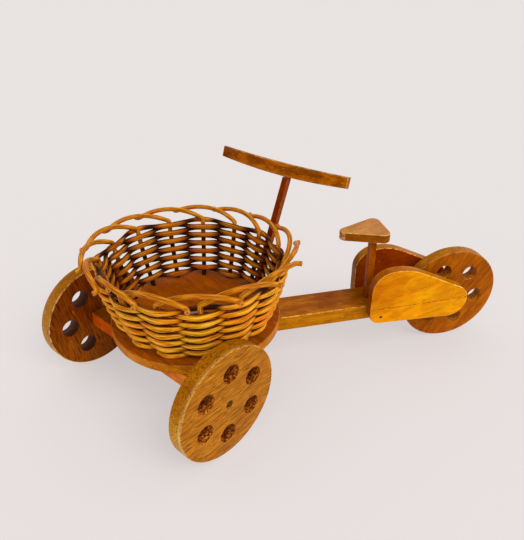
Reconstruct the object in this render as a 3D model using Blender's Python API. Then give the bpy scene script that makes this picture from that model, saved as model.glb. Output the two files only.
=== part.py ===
"""Wicker planter cart: a small wooden tricycle that carries a woven basket.

The rail runs along X with the rear wheel toward +X, and +Y is the cart's right side.
The front assembly (platform, beam, basket, handlebar and the two front wheels) turns
about the pivot bolt, and it stands turned to the left, as the cart was found.
"""
import math

import bmesh
import bpy
import numpy as np
from mathutils import Matrix, Vector

# Clearances, in metres like every size here
GAP = 0.0003                    # between pieces that touch
BORE_CLEARANCE = 0.0003         # around a pin in its hole, on the radius
EDGE_CHAMFER = 0.0007           # sanded edges of the wooden pieces
STICK_CHAMFER = 0.0004          # and of the two thin sticks
CUTTER_MARGIN = 0.003           # a cutter's run past the surface it opens
NAIL_FACETS = 10
PIN_FACETS = 16
ROUND_FACETS = 24
NAIL_TIP_SHARE = 0.15           # a nail's tip, as a share of its shank's radius
NAIL_POINT_RADII = 2.5          # length of its point, in radii of the shank

# Wheels
FRONT_WHEEL_RADIUS = 0.050
REAR_WHEEL_RADIUS = 0.049
FRONT_WHEEL_THICKNESS = 0.0137
REAR_WHEEL_THICKNESS = 0.0119
WHEEL_CHAMFER = 0.0008
WHEEL_HOLES = 6
FRONT_WHEEL_HOLE_RADIUS = 0.0083
REAR_WHEEL_HOLE_RADIUS = 0.0079
WHEEL_HOLE_CIRCLE = 0.0292      # distance from the axle to the middle of each hole
WHEEL_FACETS = 60
HOLE_FACETS = 18
LEFT_WHEEL_TURN = 24.0          # degrees from +X to the first hole, toward +Z
RIGHT_WHEEL_TURN = 59.1
REAR_WHEEL_TURN = 50.5

# Rail
RAIL_WIDTH = 0.033
RAIL_HEIGHT = 0.015
PIVOT_TO_REAR_AXLE = 0.2527
RAIL_NOSE = 0.0222              # rail past the pivot
RAIL_TREAD_CLEARANCE = 0.0055   # from the rear tread to the rail's end

# Cheeks that hold the rear wheel
CHEEK_THICKNESS = 0.010
CHEEK_FRONT = 0.0932            # front edge, ahead of the rear axle
CHEEK_CORNER_RADIUS = 0.011
CHEEK_SHOULDER_RADIUS = 0.0202
CHEEK_SHOULDER_HEIGHT = 0.0356  # middle of the shoulder above the rail's bottom
CHEEK_SHOULDER_END = 100.0      # degrees, where the shoulder becomes the crown
CHEEK_CROWN_RADIUS = 0.0495
CHEEK_TAIL_RADIUS = 0.0172
CHEEK_TAIL_AHEAD = 0.0106       # middle of the tail, ahead of the axle
CHEEK_TAIL_ABOVE = 0.0076       # and above it
CHEEK_NAIL_AHEAD = 0.082        # nail, ahead of the axle
CHEEK_NAIL_HEIGHT = 0.0072      # nail above the rail's bottom
CHEEK_NAIL_RADIUS = 0.0008
CHEEK_NAIL_HEAD_RADIUS = 0.0013
CHEEK_NAIL_LENGTH = 0.020
NAIL_SINK = 0.0003              # head below the surface
NAIL_HEAD_THICKNESS = 0.0008

# Rear axle
REAR_AXLE_RADIUS = 0.00225
REAR_AXLE_SEAT = 0.0065         # depth of its blind hole in each cheek
SPACER_WALL = 0.0018

# Front beam, pins and washers
BEAM_WIDTH = 0.014
BEAM_HEIGHT = 0.0144
BEAM_LENGTH = 0.1604
BEAM_SHIFT = 0.0012              # middle of the beam, right of the front's middle line
BEAM_AHEAD = 0.0524             # middle of the beam, ahead of the pivot
WHEEL_WASHER_THICKNESS = 0.001
WHEEL_WASHER_RADIUS = 0.006
PIN_RADIUS = 0.002
PIN_HEAD_RADIUS = 0.0034
PIN_HEAD_THICKNESS = 0.0018
PIN_DOME = 0.0007
PIN_TIP_RADIUS = 0.0006
PIN_POINT = 0.004
PIN_HEAD_SINK = 0.0008          # head below the wheel's outer face
PIN_SEAT = 0.025                # length of the pin inside the beam
SCREW_SPREAD = 0.022            # each beam screw, from the middle of the beam
SCREW_RADIUS = 0.0016
SCREW_HEAD_RADIUS = 0.003
SCREW_HEAD_HEIGHT = 0.0016
SCREW_TIP_RADIUS = 0.0003
SCREW_POINT = 0.0032
SCREW_BITE = 0.0065             # length of the screw inside the platform

# Platform and pivot
PLATFORM_RADIUS = 0.0763
PLATFORM_THICKNESS = 0.009
PLATFORM_FACETS = 72
BOLT_RADIUS = 0.003
BOLT_HEAD_RADIUS = 0.007
BOLT_HEAD_THICKNESS = 0.003
BOLT_HEAD_SINK = 0.0008
BOLT_CHAMFER = 0.0006
BOLT_HEAD_CHAMFER = 0.0011
PIVOT_WASHER_RADIUS = 0.008
PIVOT_WASHER_THICKNESS = 0.0012
NUT_RADIUS = 0.0058             # across the corners, halved
NUT_HEIGHT = 0.005
NUT_SIDES = 6
BOLT_TAIL = 0.0015              # thread past the nut
FRONT_TURN = 35.2               # degrees that the front stands turned to the left

# Basket
BASKET_FOOT_RADIUS = 0.0695     # outside, on the platform
BASKET_TOP_RADIUS = 0.0855      # outside, at the top of the weave
BASKET_BOW = 0.0015
BASKET_WALL_HEIGHT = 0.0572     # on average: the top is tilted a little
BASKET_WALL_THICKNESS = 0.012   # over the strands where they pass outside and inside the stakes
WEAVE_LIFT = 0.003              # more height on the high side, less opposite it
HIGH_SIDE = -145.2              # degrees to the high side, in the front's own frame
WEAVE_ROWS = 13
WEAVE_RISE = 0.00415            # climb of the weaver in one turn
WEAVE_FIRST = 0.0022            # middle of its start, above the wall's bottom
WEAVE_START = 8                 # number of the stake that the weaver starts over
WEAVE_CROWN = 0.0019            # height of the flat on each strand's crown
WEAVE_COVER = 0.0032            # half of the wall over the stakes, between two crowns
WEAVE_WAIST = 0.0022            # and midway between two stakes
STAKES = 15
STAKE_RADIUS = 0.0022
STAKE_SIDES = 6
CHANNEL_CLEARANCE = 0.0004
STAKE_SEAT = 0.005              # depth of the blind hole in the platform
STAKE_WALL_POINTS = 5           # points of a stake's line inside the weave
STAKE_ARCH_POINTS = 12          # and in its arch
STAKE_OFFSET = 16.5             # degrees to the first stake, in the front's own frame
ARCH_HEIGHT = 0.011             # border above the weave, on average
ARCH_LIFT = 0.003               # more on the high side, less opposite it
ARCH_SPREAD = 0.0120            # how far outside its start an arch would land
ARCH_BOW = 0.003                # further outwards at the top of the arch
ARCH_ROUNDNESS = 0.1            # 0 is a plain sine, more makes steeper legs
ARCH_REACH = 2                  # stakes that a whole arch would span
ARCH_END = 0.81                 # share of the arch where the stake turns outwards
TIP_REACH = 0.0045              # along the arch, and again outwards, to the cut end
TIP_POINTS = 4
BASKET_DENT = 0.0035            # how far the basket's top is pressed in beside the stem
DENT_WIDTH = 22.0               # degrees to either side

# Handlebar
STEM_WIDTH = 0.0065
STEM_DEPTH = 0.0058
STEM_FOOT = 0.0732              # from the pivot to the stem's foot
STEM_SIDE = -7.7                # degrees, off the front's middle line
STEM_LEAN = 20.0                # degrees outwards
BAR_LENGTH = 0.140
BAR_THICKNESS = 0.0055
BAR_MIDDLE_HEIGHT = 0.0120
BAR_END_HEIGHT = 0.0100
BAR_DIP = 0.0018                # hollow of the top edge
BAR_TOP = 0.1802                # top edge above the ground at its ends
BAR_TWIST = 5.2                 # degrees, off square to the front's middle line
BAR_SHIFT = 0.0084              # bar's middle, to the right of the stem
STEM_NAIL_RADIUS = 0.0009
STEM_NAIL_HEAD_RADIUS = 0.0016
STEM_NAIL_BITE = 0.014          # length of each nail inside the stem

# Seat
SEAT_LENGTH = 0.043
SEAT_TIP_AHEAD = 0.119          # tip, ahead of the rear axle
SEAT_WIDTH = 0.036
SEAT_TIP_RADIUS = 0.0055
SEAT_CORNER_RADIUS = 0.0065
SEAT_THICKNESS = 0.0085
SEAT_HEIGHT = 0.1325            # top of the seat above the ground
POST_WIDTH = 0.006
POST_DEPTH = 0.0065
POST_AHEAD = 0.0862             # post, ahead of the rear axle
POST_TENON = 0.004              # depth of its seat in the saddle and in the rail

# Heights and places that follow from those sizes
beamTop = FRONT_WHEEL_RADIUS + BEAM_HEIGHT / 2
railTop = beamTop
railBottom = railTop - RAIL_HEIGHT
platformBottom = railTop + GAP
platformTop = platformBottom + PLATFORM_THICKNESS
wallBottom = platformTop + GAP
wallTop = wallBottom + BASKET_WALL_HEIGHT
cheekInner = RAIL_WIDTH / 2 + GAP
cheekOuter = cheekInner + CHEEK_THICKNESS
beamEnd = BEAM_LENGTH / 2
wheelInner = beamEnd + WHEEL_WASHER_THICKNESS + 2 * GAP
wheelOuter = wheelInner + FRONT_WHEEL_THICKNESS
seatBottom = SEAT_HEIGHT - SEAT_THICKNESS


# Groups: an empty carries the pieces of one body
def makeEmpty(name, location, turn=0.0, parent=None):
    empty = bpy.data.objects.new(name, None)
    bpy.context.scene.collection.objects.link(empty)
    empty.location = location
    empty.rotation_euler = (0.0, 0.0, math.radians(turn))
    empty.parent = parent
    return empty


def makeMaterial(name, colour, roughness, metallic):
    material = bpy.data.materials.new(name)
    material.use_nodes = True
    shader = material.node_tree.nodes["Principled BSDF"]
    shader.inputs["Base Color"].default_value = (*colour, 1.0)
    shader.inputs["Roughness"].default_value = roughness
    shader.inputs["Metallic"].default_value = metallic
    material.diffuse_color = (*colour, 1.0)
    return material


FINISHES = {
    "amber_wood": ((0.62, 0.27, 0.03), 0.35, 0.0),
    "brown_wood": ((0.36, 0.13, 0.03), 0.40, 0.0),
    "tan_wood": ((0.45, 0.23, 0.10), 0.60, 0.0),
    "cane": ((0.58, 0.26, 0.04), 0.45, 0.0),
    "dark_steel": ((0.12, 0.09, 0.06), 0.50, 0.9),
    "zinc": ((0.50, 0.48, 0.44), 0.40, 1.0),
}


def addPiece(name, bm, finish, parent, location=(0.0, 0.0, 0.0), smoothAngle=30.0):
    mesh = bpy.data.meshes.new(name)
    bm.normal_update()
    bm.to_mesh(mesh)
    bm.free()
    mesh.shade_smooth()
    mesh.set_sharp_from_angle(angle=math.radians(smoothAngle))
    mesh.materials.append(makeMaterial(name + "_" + finish, *FINISHES[finish]))
    piece = bpy.data.objects.new(name, mesh)
    bpy.context.scene.collection.objects.link(piece)
    piece.location = location
    piece.parent = parent
    return piece


def addCutter(name, bm, parent, location=(0.0, 0.0, 0.0)):
    mesh = bpy.data.meshes.new(name)
    bm.to_mesh(mesh)
    bm.free()
    cutter = bpy.data.objects.new(name, mesh)
    bpy.context.scene.collection.objects.link(cutter)
    cutter.location = location
    cutter.parent = parent
    cutter.hide_render = True
    cutter.display_type = "WIRE"
    return cutter


def cut(piece, cutter):
    modifier = piece.modifiers.new("cut_" + cutter.name, "BOOLEAN")
    modifier.operation = "DIFFERENCE"
    modifier.solver = "EXACT"
    modifier.object = cutter


# Shapes
def addRings(bm, rings, closedLoop=False):
    """Joins rings of points into a closed skin, capped at both ends unless it is a loop."""
    loops = [[bm.verts.new(point) for point in ring] for ring in rings]
    pairs = list(zip(loops, loops[1:]))
    if closedLoop:
        pairs.append((loops[-1], loops[0]))
    for first, second in pairs:
        count = len(first)
        for i in range(count):
            j = (i + 1) % count
            bm.faces.new((first[i], first[j], second[j], second[i]))
    if not closedLoop:
        bm.faces.new(list(reversed(loops[0])))
        bm.faces.new(loops[-1])
    bmesh.ops.recalc_face_normals(bm, faces=bm.faces)
    return bm


def circlePoints(radius, height, facets, axis, startAngle=0.0, middle=(0.0, 0.0)):
    """A ring of points about the given axis, at the given place along it."""
    angles = startAngle + np.arange(facets) * 2 * math.pi / facets
    u = middle[0] + radius * np.cos(angles)
    v = middle[1] + radius * np.sin(angles)
    w = np.full(facets, height)
    columns = {"X": (w, u, v), "Y": (u, w, v), "Z": (u, v, w)}[axis]
    return np.stack(columns, axis=1)


def turned(profile, facets=ROUND_FACETS, axis="Z", startAngle=0.0, middle=(0.0, 0.0), bm=None):
    """A turned solid from (radius, place along the axis) pairs, flat at both ends."""
    bm = bm or bmesh.new()
    rings = [circlePoints(r, h, facets, axis, startAngle, middle) for r, h in profile]
    return addRings(bm, rings)


def tubular(outerRadius, innerRadius, start, end, facets=ROUND_FACETS, axis="Z"):
    """A sleeve or washer: the section goes round as a closed loop of four rings."""
    section = ((innerRadius, start), (outerRadius, start), (outerRadius, end), (innerRadius, end))
    rings = [circlePoints(r, h, facets, axis) for r, h in section]
    return addRings(bmesh.new(), rings, closedLoop=True)


def block(low, high, chamfer=EDGE_CHAMFER):
    """A sanded block between two corners."""
    bm = bmesh.new()
    size = Vector(high) - Vector(low)
    centre = (Vector(high) + Vector(low)) / 2
    bmesh.ops.create_cube(bm, size=1.0, matrix=Matrix.Translation(centre) @ Matrix.Diagonal((*size, 1.0)))
    if chamfer:
        bmesh.ops.bevel(bm, geom=list(bm.edges), offset=chamfer, segments=1, affect="EDGES")
    return bm


def sweep(points, radius, sides, bm=None):
    """A rod along points: each ring stands square to the path, turned as little as possible."""
    points = [Vector(p) for p in points]
    tangents = []
    for i in range(len(points)):
        before = points[max(i - 1, 0)]
        after = points[min(i + 1, len(points) - 1)]
        tangents.append((after - before).normalized())
    across = tangents[0].cross(Vector((0.31, 0.17, 0.05))).normalized()
    rings = []
    for point, tangent in zip(points, tangents):
        across = (across - tangent * across.dot(tangent)).normalized()
        other = tangent.cross(across)
        angles = [2 * math.pi * k / sides for k in range(sides)]
        rings.append([point + radius * (math.cos(a) * across + math.sin(a) * other) for a in angles])
    return addRings(bm or bmesh.new(), rings)


def tangentNormal(first, second):
    """Angle of the outward normal of the line that touches two circles on its left side."""
    (x1, y1, r1), (x2, y2, r2) = first, second
    heading = math.atan2(y2 - y1, x2 - x1)
    return heading + math.acos((r1 - r2) / math.hypot(x2 - x1, y2 - y1))


def beltOutline(circles, joins, inset=0.0, step=10.0):
    """The outline of a belt laid round circles in turn, clockwise: arcs and the lines between.

    joins gives a fixed normal in degrees where two circles meet without a straight line.
    """
    count = len(circles)
    normals = []
    for i in range(count):
        fixed = joins.get(i)
        following = circles[(i + 1) % count]
        normals.append(math.radians(fixed) if fixed is not None else tangentNormal(circles[i], following))
    points = []
    for i, (x, y, radius) in enumerate(circles):
        start = normals[i - 1]
        turn = (start - normals[i]) % (2 * math.pi)
        pieces = max(2, round(math.degrees(turn) / step))
        for k in range(pieces + 1):
            if k == 0 and joins.get((i - 1) % count) is not None:
                continue
            angle = start - turn * k / pieces
            points.append((x + (radius - inset) * math.cos(angle), y + (radius - inset) * math.sin(angle)))
    return points


def plate(outline, start, end, axis, chamfer=EDGE_CHAMFER):
    """A board cut to an outline that takes an inset, with sanded edges on both faces."""
    levels = ((start, chamfer), (start + chamfer, 0.0), (end - chamfer, 0.0), (end, chamfer))
    rings = []
    for level, inset in levels:
        if axis == "Y":
            rings.append([(u, level, v) for u, v in outline(inset)])
        else:
            rings.append([(u, v, level) for u, v in outline(inset)])
    return addRings(bmesh.new(), rings)


def nailProfile(length, radius, headRadius, headThickness):
    """A nail from the point (at 0) up to the flat of its head."""
    neck = length - headThickness
    point = (radius * NAIL_TIP_SHARE, 0.0)
    shank = ((radius, radius * NAIL_POINT_RADII), (radius, neck))
    return (point, *shank, (headRadius, neck), (headRadius, length))


def clearProfile(profile, clearance, runOn):
    """A profile with clearance around it, its last ring run on past the surface."""
    body = [(r + clearance, h) for r, h in profile]
    direction = 1.0 if profile[-1][1] > profile[0][1] else -1.0
    body[0] = (body[0][0], body[0][1] - direction * clearance)
    body[-1] = (profile[-2][0] + clearance, profile[-1][1] + direction * runOn)
    return body


def placed(bm, origin, direction):
    """Turns a shape made along +Z to the direction, with its foot at the origin."""
    turn = Vector((0.0, 0.0, 1.0)).rotation_difference(Vector(direction)).to_matrix().to_4x4()
    bmesh.ops.transform(bm, matrix=Matrix.Translation(Vector(origin)) @ turn, verts=bm.verts)
    return bm


def makeNail(profile, tip, direction):
    """A nail, or the cutter of its hole, from its tip toward its head."""
    return placed(turned(profile, NAIL_FACETS), tip, direction)


# Wheels: a plain disc with six round holes, one facet of the tread flat on the ground
def makeWheel(name, sizes, boreRadius, turn, parent, location, outerSide=0):
    """A wheel of the given radius, thickness and hole radius, turned by an angle in degrees."""
    radius, thickness, holeRadius = sizes
    half = thickness / 2
    tread = radius / math.cos(math.pi / WHEEL_FACETS)
    start = -math.pi / 2 + math.pi / WHEEL_FACETS
    profile = (
        (tread - WHEEL_CHAMFER, -half),
        (tread, -half + WHEEL_CHAMFER),
        (tread, half - WHEEL_CHAMFER),
        (tread - WHEEL_CHAMFER, half),
    )
    wheel = addPiece(name, turned(profile, WHEEL_FACETS, "Y", start), "brown_wood", parent, location)
    cutter = bmesh.new()
    reach = half + CUTTER_MARGIN
    for k in range(WHEEL_HOLES):
        angle = math.radians(turn) + 2 * math.pi * k / WHEEL_HOLES
        middle = (WHEEL_HOLE_CIRCLE * math.cos(angle), WHEEL_HOLE_CIRCLE * math.sin(angle))
        hole = ((holeRadius, -reach), (holeRadius, reach))
        turned(hole, HOLE_FACETS, "Y", angle, middle, cutter)
    bore = [(boreRadius, -reach), (boreRadius, reach)]
    if outerSide:
        shoulder = half - PIN_HEAD_SINK - PIN_HEAD_THICKNESS - GAP
        recess = PIN_HEAD_RADIUS + BORE_CLEARANCE
        bore = [(boreRadius, -reach), (boreRadius, shoulder), (recess, shoulder), (recess, reach)]
        bore = [(r, h * outerSide) for r, h in bore]
    turned(bore, HOLE_FACETS, "Y", 0.0, (0.0, 0.0), cutter)
    cut(wheel, addCutter(name + "_cutter", cutter, parent, location))
    return wheel


# Chassis: rail, cheeks, rear axle, seat and the pivot bolt, which stays with the rail
def pivotPlace():
    return (-PIVOT_TO_REAR_AXLE, 0.0, 0.0)


def boltProfile():
    nutBottom = railBottom - GAP - PIVOT_WASHER_THICKNESS - GAP - NUT_HEIGHT
    headTop = platformTop - BOLT_HEAD_SINK
    headBottom = headTop - BOLT_HEAD_THICKNESS
    return (
        (BOLT_RADIUS - BOLT_CHAMFER, nutBottom - BOLT_TAIL),
        (BOLT_RADIUS, nutBottom - BOLT_TAIL + BOLT_CHAMFER),
        (BOLT_RADIUS, headBottom),
        (BOLT_HEAD_RADIUS, headBottom),
        (BOLT_HEAD_RADIUS, headTop - BOLT_HEAD_CHAMFER),
        (BOLT_HEAD_RADIUS - BOLT_HEAD_CHAMFER, headTop),
    )


def makePivot(root):
    place = pivotPlace()
    addPiece("pivot_bolt", turned(boltProfile()), "zinc", root, place)
    washerTop = railBottom - GAP
    washerBottom = washerTop - PIVOT_WASHER_THICKNESS
    hole = BOLT_RADIUS + BORE_CLEARANCE
    washer = tubular(PIVOT_WASHER_RADIUS, hole, washerBottom, washerTop)
    addPiece("pivot_washer", washer, "zinc", root, place)
    nutTop = washerBottom - GAP
    nutBottom = nutTop - NUT_HEIGHT
    body = turned(((NUT_RADIUS, nutBottom), (NUT_RADIUS, nutTop)), NUT_SIDES)
    nut = addPiece("pivot_nut", body, "zinc", root, place)
    thread = turned(((hole, nutBottom - GAP), (hole, nutTop + GAP)))
    cut(nut, addCutter("pivot_nut_cutter", thread, root, place))


def makeRail(root):
    front = -PIVOT_TO_REAR_AXLE - RAIL_NOSE
    rear = -REAR_WHEEL_RADIUS - RAIL_TREAD_CLEARANCE
    half = RAIL_WIDTH / 2
    rail = addPiece("rail", block((front, -half, railBottom), (rear, half, railTop)), "amber_wood", root)
    hole = BOLT_RADIUS + BORE_CLEARANCE
    bore = turned(((hole, railBottom - CUTTER_MARGIN), (hole, railTop + CUTTER_MARGIN)))
    cut(rail, addCutter("rail_bore_cutter", bore, root, pivotPlace()))
    cut(rail, addCutter("rail_mortise_cutter", postShape(BORE_CLEARANCE), root))
    for side in (-1, 1):
        nail = makeNail(clearProfile(cheekNail(), BORE_CLEARANCE, 0.0), cheekNailTip(side), (0, side, 0))
        cut(rail, addCutter("rail_nail_cutter", nail, root))


def cheekCircles():
    tail = (-CHEEK_TAIL_AHEAD, REAR_WHEEL_RADIUS + CHEEK_TAIL_ABOVE, CHEEK_TAIL_RADIUS)
    corner = (-CHEEK_FRONT + CHEEK_CORNER_RADIUS, railBottom + CHEEK_CORNER_RADIUS, CHEEK_CORNER_RADIUS)
    shoulderX = -CHEEK_FRONT + CHEEK_SHOULDER_RADIUS
    shoulderZ = railBottom + CHEEK_SHOULDER_HEIGHT
    shoulder = (shoulderX, shoulderZ, CHEEK_SHOULDER_RADIUS)
    shift = CHEEK_CROWN_RADIUS - CHEEK_SHOULDER_RADIUS
    join = math.radians(CHEEK_SHOULDER_END)
    crown = (shoulderX - shift * math.cos(join), shoulderZ - shift * math.sin(join), CHEEK_CROWN_RADIUS)
    return (corner, shoulder, crown, tail)


def cheekNail():
    return nailProfile(CHEEK_NAIL_LENGTH, CHEEK_NAIL_RADIUS, CHEEK_NAIL_HEAD_RADIUS, NAIL_HEAD_THICKNESS)


def cheekNailTip(side):
    depth = cheekOuter - NAIL_SINK - CHEEK_NAIL_LENGTH
    return (-CHEEK_NAIL_AHEAD, side * depth, railBottom + CHEEK_NAIL_HEIGHT)


def makeCheeks(root):
    def outline(inset):
        return beltOutline(cheekCircles(), {1: CHEEK_SHOULDER_END}, inset)

    for name, side in (("left", -1), ("right", 1)):
        start, end = sorted((side * cheekInner, side * cheekOuter))
        cheek = addPiece("cheek_" + name, plate(outline, start, end, "Y"), "amber_wood", root)
        clear = clearProfile(cheekNail(), BORE_CLEARANCE, CUTTER_MARGIN)
        nail = makeNail(clear, cheekNailTip(side), (0, side, 0))
        cut(cheek, addCutter("cheek_nail_cutter", nail, root))
        hole = REAR_AXLE_RADIUS + BORE_CLEARANCE
        depth = REAR_AXLE_SEAT + BORE_CLEARANCE
        inner = side * (cheekInner - CUTTER_MARGIN)
        profile = ((hole, inner), (hole, side * (cheekInner + depth)))
        socket = turned(profile, PIN_FACETS, "Y", 0.0, (0.0, REAR_WHEEL_RADIUS))
        cut(cheek, addCutter("cheek_axle_cutter", socket, root))
        piece = makeNail(cheekNail(), cheekNailTip(side), (0, side, 0))
        addPiece("cheek_nail_" + name, piece, "dark_steel", root)


def makeRearAxle(root):
    reach = cheekInner + REAR_AXLE_SEAT
    profile = ((REAR_AXLE_RADIUS, -reach), (REAR_AXLE_RADIUS, reach))
    axle = turned(profile, PIN_FACETS, "Y", 0.0, (0.0, REAR_WHEEL_RADIUS))
    addPiece("rear_axle", axle, "dark_steel", root)
    hole = REAR_AXLE_RADIUS + BORE_CLEARANCE
    for name, side in (("left", -1), ("right", 1)):
        start, end = sorted((side * (REAR_WHEEL_THICKNESS / 2 + GAP), side * (cheekInner - GAP)))
        spacer = tubular(hole + SPACER_WALL, hole, start, end, PIN_FACETS, "Y")
        addPiece("rear_spacer_" + name, spacer, "brown_wood", root, (0.0, 0.0, REAR_WHEEL_RADIUS))


def postShape(clearance):
    """The seat post, with a tenon in the rail and one in the saddle."""
    halfX = POST_DEPTH / 2 + clearance
    halfY = POST_WIDTH / 2 + clearance
    low = (-POST_AHEAD - halfX, -halfY, railTop - POST_TENON - clearance)
    high = (-POST_AHEAD + halfX, halfY, seatBottom + POST_TENON + clearance)
    return block(low, high, 0.0 if clearance else STICK_CHAMFER)


def makeSeat(root):
    addPiece("seat_post", postShape(0.0), "amber_wood", root)
    tip = (-SEAT_TIP_AHEAD + SEAT_TIP_RADIUS, 0.0, SEAT_TIP_RADIUS)
    back = -SEAT_TIP_AHEAD + SEAT_LENGTH - SEAT_CORNER_RADIUS
    side = SEAT_WIDTH / 2 - SEAT_CORNER_RADIUS
    circles = (tip, (back, side, SEAT_CORNER_RADIUS), (back, -side, SEAT_CORNER_RADIUS))

    def outline(inset):
        return beltOutline(circles, {}, inset, 15.0)

    seat = addPiece("seat", plate(outline, seatBottom, SEAT_HEIGHT, "Z"), "tan_wood", root)
    cut(seat, addCutter("seat_mortise_cutter", postShape(BORE_CLEARANCE), root))


# Front assembly, in its own frame: X back along its middle line, the pivot at the origin
def pinProfile():
    """From the point inside the beam out to the head, along the axle."""
    tip = beamEnd - PIN_SEAT
    headTop = wheelOuter - PIN_HEAD_SINK
    headBottom = headTop - PIN_HEAD_THICKNESS
    return (
        (PIN_TIP_RADIUS, tip),
        (PIN_RADIUS, tip + PIN_POINT),
        (PIN_RADIUS, headBottom),
        (PIN_HEAD_RADIUS, headBottom),
        (PIN_HEAD_RADIUS, headTop - PIN_DOME),
        (PIN_HEAD_RADIUS - PIN_DOME, headTop),
    )


def screwProfile():
    """From the point in the platform down to the countersunk head, heights from the ground."""
    tip = platformBottom + SCREW_BITE
    head = FRONT_WHEEL_RADIUS - BEAM_HEIGHT / 2 + NAIL_SINK
    return (
        (SCREW_TIP_RADIUS, tip),
        (SCREW_RADIUS, tip - SCREW_POINT),
        (SCREW_RADIUS, head + SCREW_HEAD_HEIGHT),
        (SCREW_HEAD_RADIUS, head + NAIL_SINK),
        (SCREW_HEAD_RADIUS, head),
    )


def axlePoints(profile, side):
    return [(r, h * side) for r, h in profile]


def makeBeam(front):
    half = BEAM_WIDTH / 2
    low = (-BEAM_AHEAD - half, -beamEnd, beamTop - BEAM_HEIGHT)
    high = (-BEAM_AHEAD + half, beamEnd, beamTop)
    shift = (0.0, BEAM_SHIFT, 0.0)
    beam = addPiece("front_axle_beam", block(low, high), "amber_wood", front, shift)
    axle = (-BEAM_AHEAD, FRONT_WHEEL_RADIUS)
    for name, side in (("left", -1), ("right", 1)):
        pin = turned(axlePoints(pinProfile(), side), PIN_FACETS, "Y", 0.0, axle)
        addPiece("axle_pin_" + name, pin, "dark_steel", front, shift)
        shank = clearProfile(pinProfile()[:3], BORE_CLEARANCE, 0.0)
        hole = turned(axlePoints(shank, side), PIN_FACETS, "Y", 0.0, axle)
        cut(beam, addCutter("beam_pin_cutter_" + name, hole, front, shift))
        start, end = sorted((side * (beamEnd + GAP), side * (wheelInner - GAP)))
        washer = tubular(WHEEL_WASHER_RADIUS, PIN_RADIUS + BORE_CLEARANCE, start, end, PIN_FACETS, "Y")
        addPiece("wheel_washer_" + name, washer, "zinc", front, (-BEAM_AHEAD, BEAM_SHIFT, FRONT_WHEEL_RADIUS))
        place = (-BEAM_AHEAD, BEAM_SHIFT + side * SCREW_SPREAD, 0.0)
        addPiece("beam_screw_" + name, turned(screwProfile(), PIN_FACETS), "zinc", front, place)
        clear = turned(clearProfile(screwProfile(), BORE_CLEARANCE, CUTTER_MARGIN), PIN_FACETS)
        cut(beam, addCutter("beam_screw_cutter_" + name, clear, front, place))
    return beam


def stemAxis():
    """Foot of the stem on the platform and the direction in which it leans."""
    side = math.radians(STEM_SIDE)
    lean = math.radians(STEM_LEAN)
    outwards = Vector((math.cos(side), math.sin(side), 0.0))
    foot = outwards * STEM_FOOT + Vector((0.0, 0.0, platformTop))
    return foot, outwards * math.sin(lean) + Vector((0.0, 0.0, math.cos(lean)))


def barFrame():
    """Along the bar to its left end, up in the board's plane, and out through its face."""
    foot, direction = stemAxis()
    twist = math.radians(BAR_TWIST)
    along = Vector((math.sin(twist), -math.cos(twist), 0.0))
    up = (direction - along * direction.dot(along)).normalized()
    out = along.cross(up)
    topMiddle = foot + direction * ((BAR_TOP - platformTop) / direction.z)
    return topMiddle, along, up, out


def stemNail(length):
    return nailProfile(length, STEM_NAIL_RADIUS, STEM_NAIL_HEAD_RADIUS, NAIL_HEAD_THICKNESS)


def makePlatform(front):
    edge = EDGE_CHAMFER
    profile = (
        (PLATFORM_RADIUS - edge, platformBottom),
        (PLATFORM_RADIUS, platformBottom + edge),
        (PLATFORM_RADIUS, platformTop - edge),
        (PLATFORM_RADIUS - edge, platformTop),
    )
    platform = addPiece("platform", turned(profile, PLATFORM_FACETS), "amber_wood", front)
    holes = bmesh.new()
    headBottom = platformTop - BOLT_HEAD_SINK - BOLT_HEAD_THICKNESS - GAP
    hole = BOLT_RADIUS + BORE_CLEARANCE
    recess = BOLT_HEAD_RADIUS + BORE_CLEARANCE
    below = platformBottom - CUTTER_MARGIN
    above = platformTop + CUTTER_MARGIN
    turned(((hole, below), (hole, headBottom), (recess, headBottom), (recess, above)), bm=holes)
    for side in (-1, 1):
        upper = clearProfile(screwProfile()[:3], BORE_CLEARANCE, 0.0)
        middle = (-BEAM_AHEAD, BEAM_SHIFT + side * SCREW_SPREAD)
        turned(upper, PIN_FACETS, "Z", 0.0, middle, holes)
    cut(platform, addCutter("platform_cutter", holes, front))
    sockets = bmesh.new()
    for k in range(STAKES):
        socket = stakePath(k, start=-STAKE_SEAT - GAP, end=CUTTER_MARGIN)
        sweep(socket, STAKE_RADIUS + BORE_CLEARANCE, STAKE_SIDES, sockets)
    cut(platform, addCutter("platform_stake_cutter", sockets, front))
    foot, direction = stemAxis()
    bottom = foot + direction * ((platformBottom + NAIL_SINK - platformTop) / direction.z)
    length = STEM_NAIL_BITE + (foot - bottom).length
    tip = bottom + direction * length
    nail = makeNail(stemNail(length), tip, -direction)
    addPiece("stem_nail", nail, "dark_steel", front)
    clear = makeNail(clearProfile(stemNail(length), BORE_CLEARANCE, CUTTER_MARGIN), tip, -direction)
    cut(platform, addCutter("platform_nail_cutter", clear, front))


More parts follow.
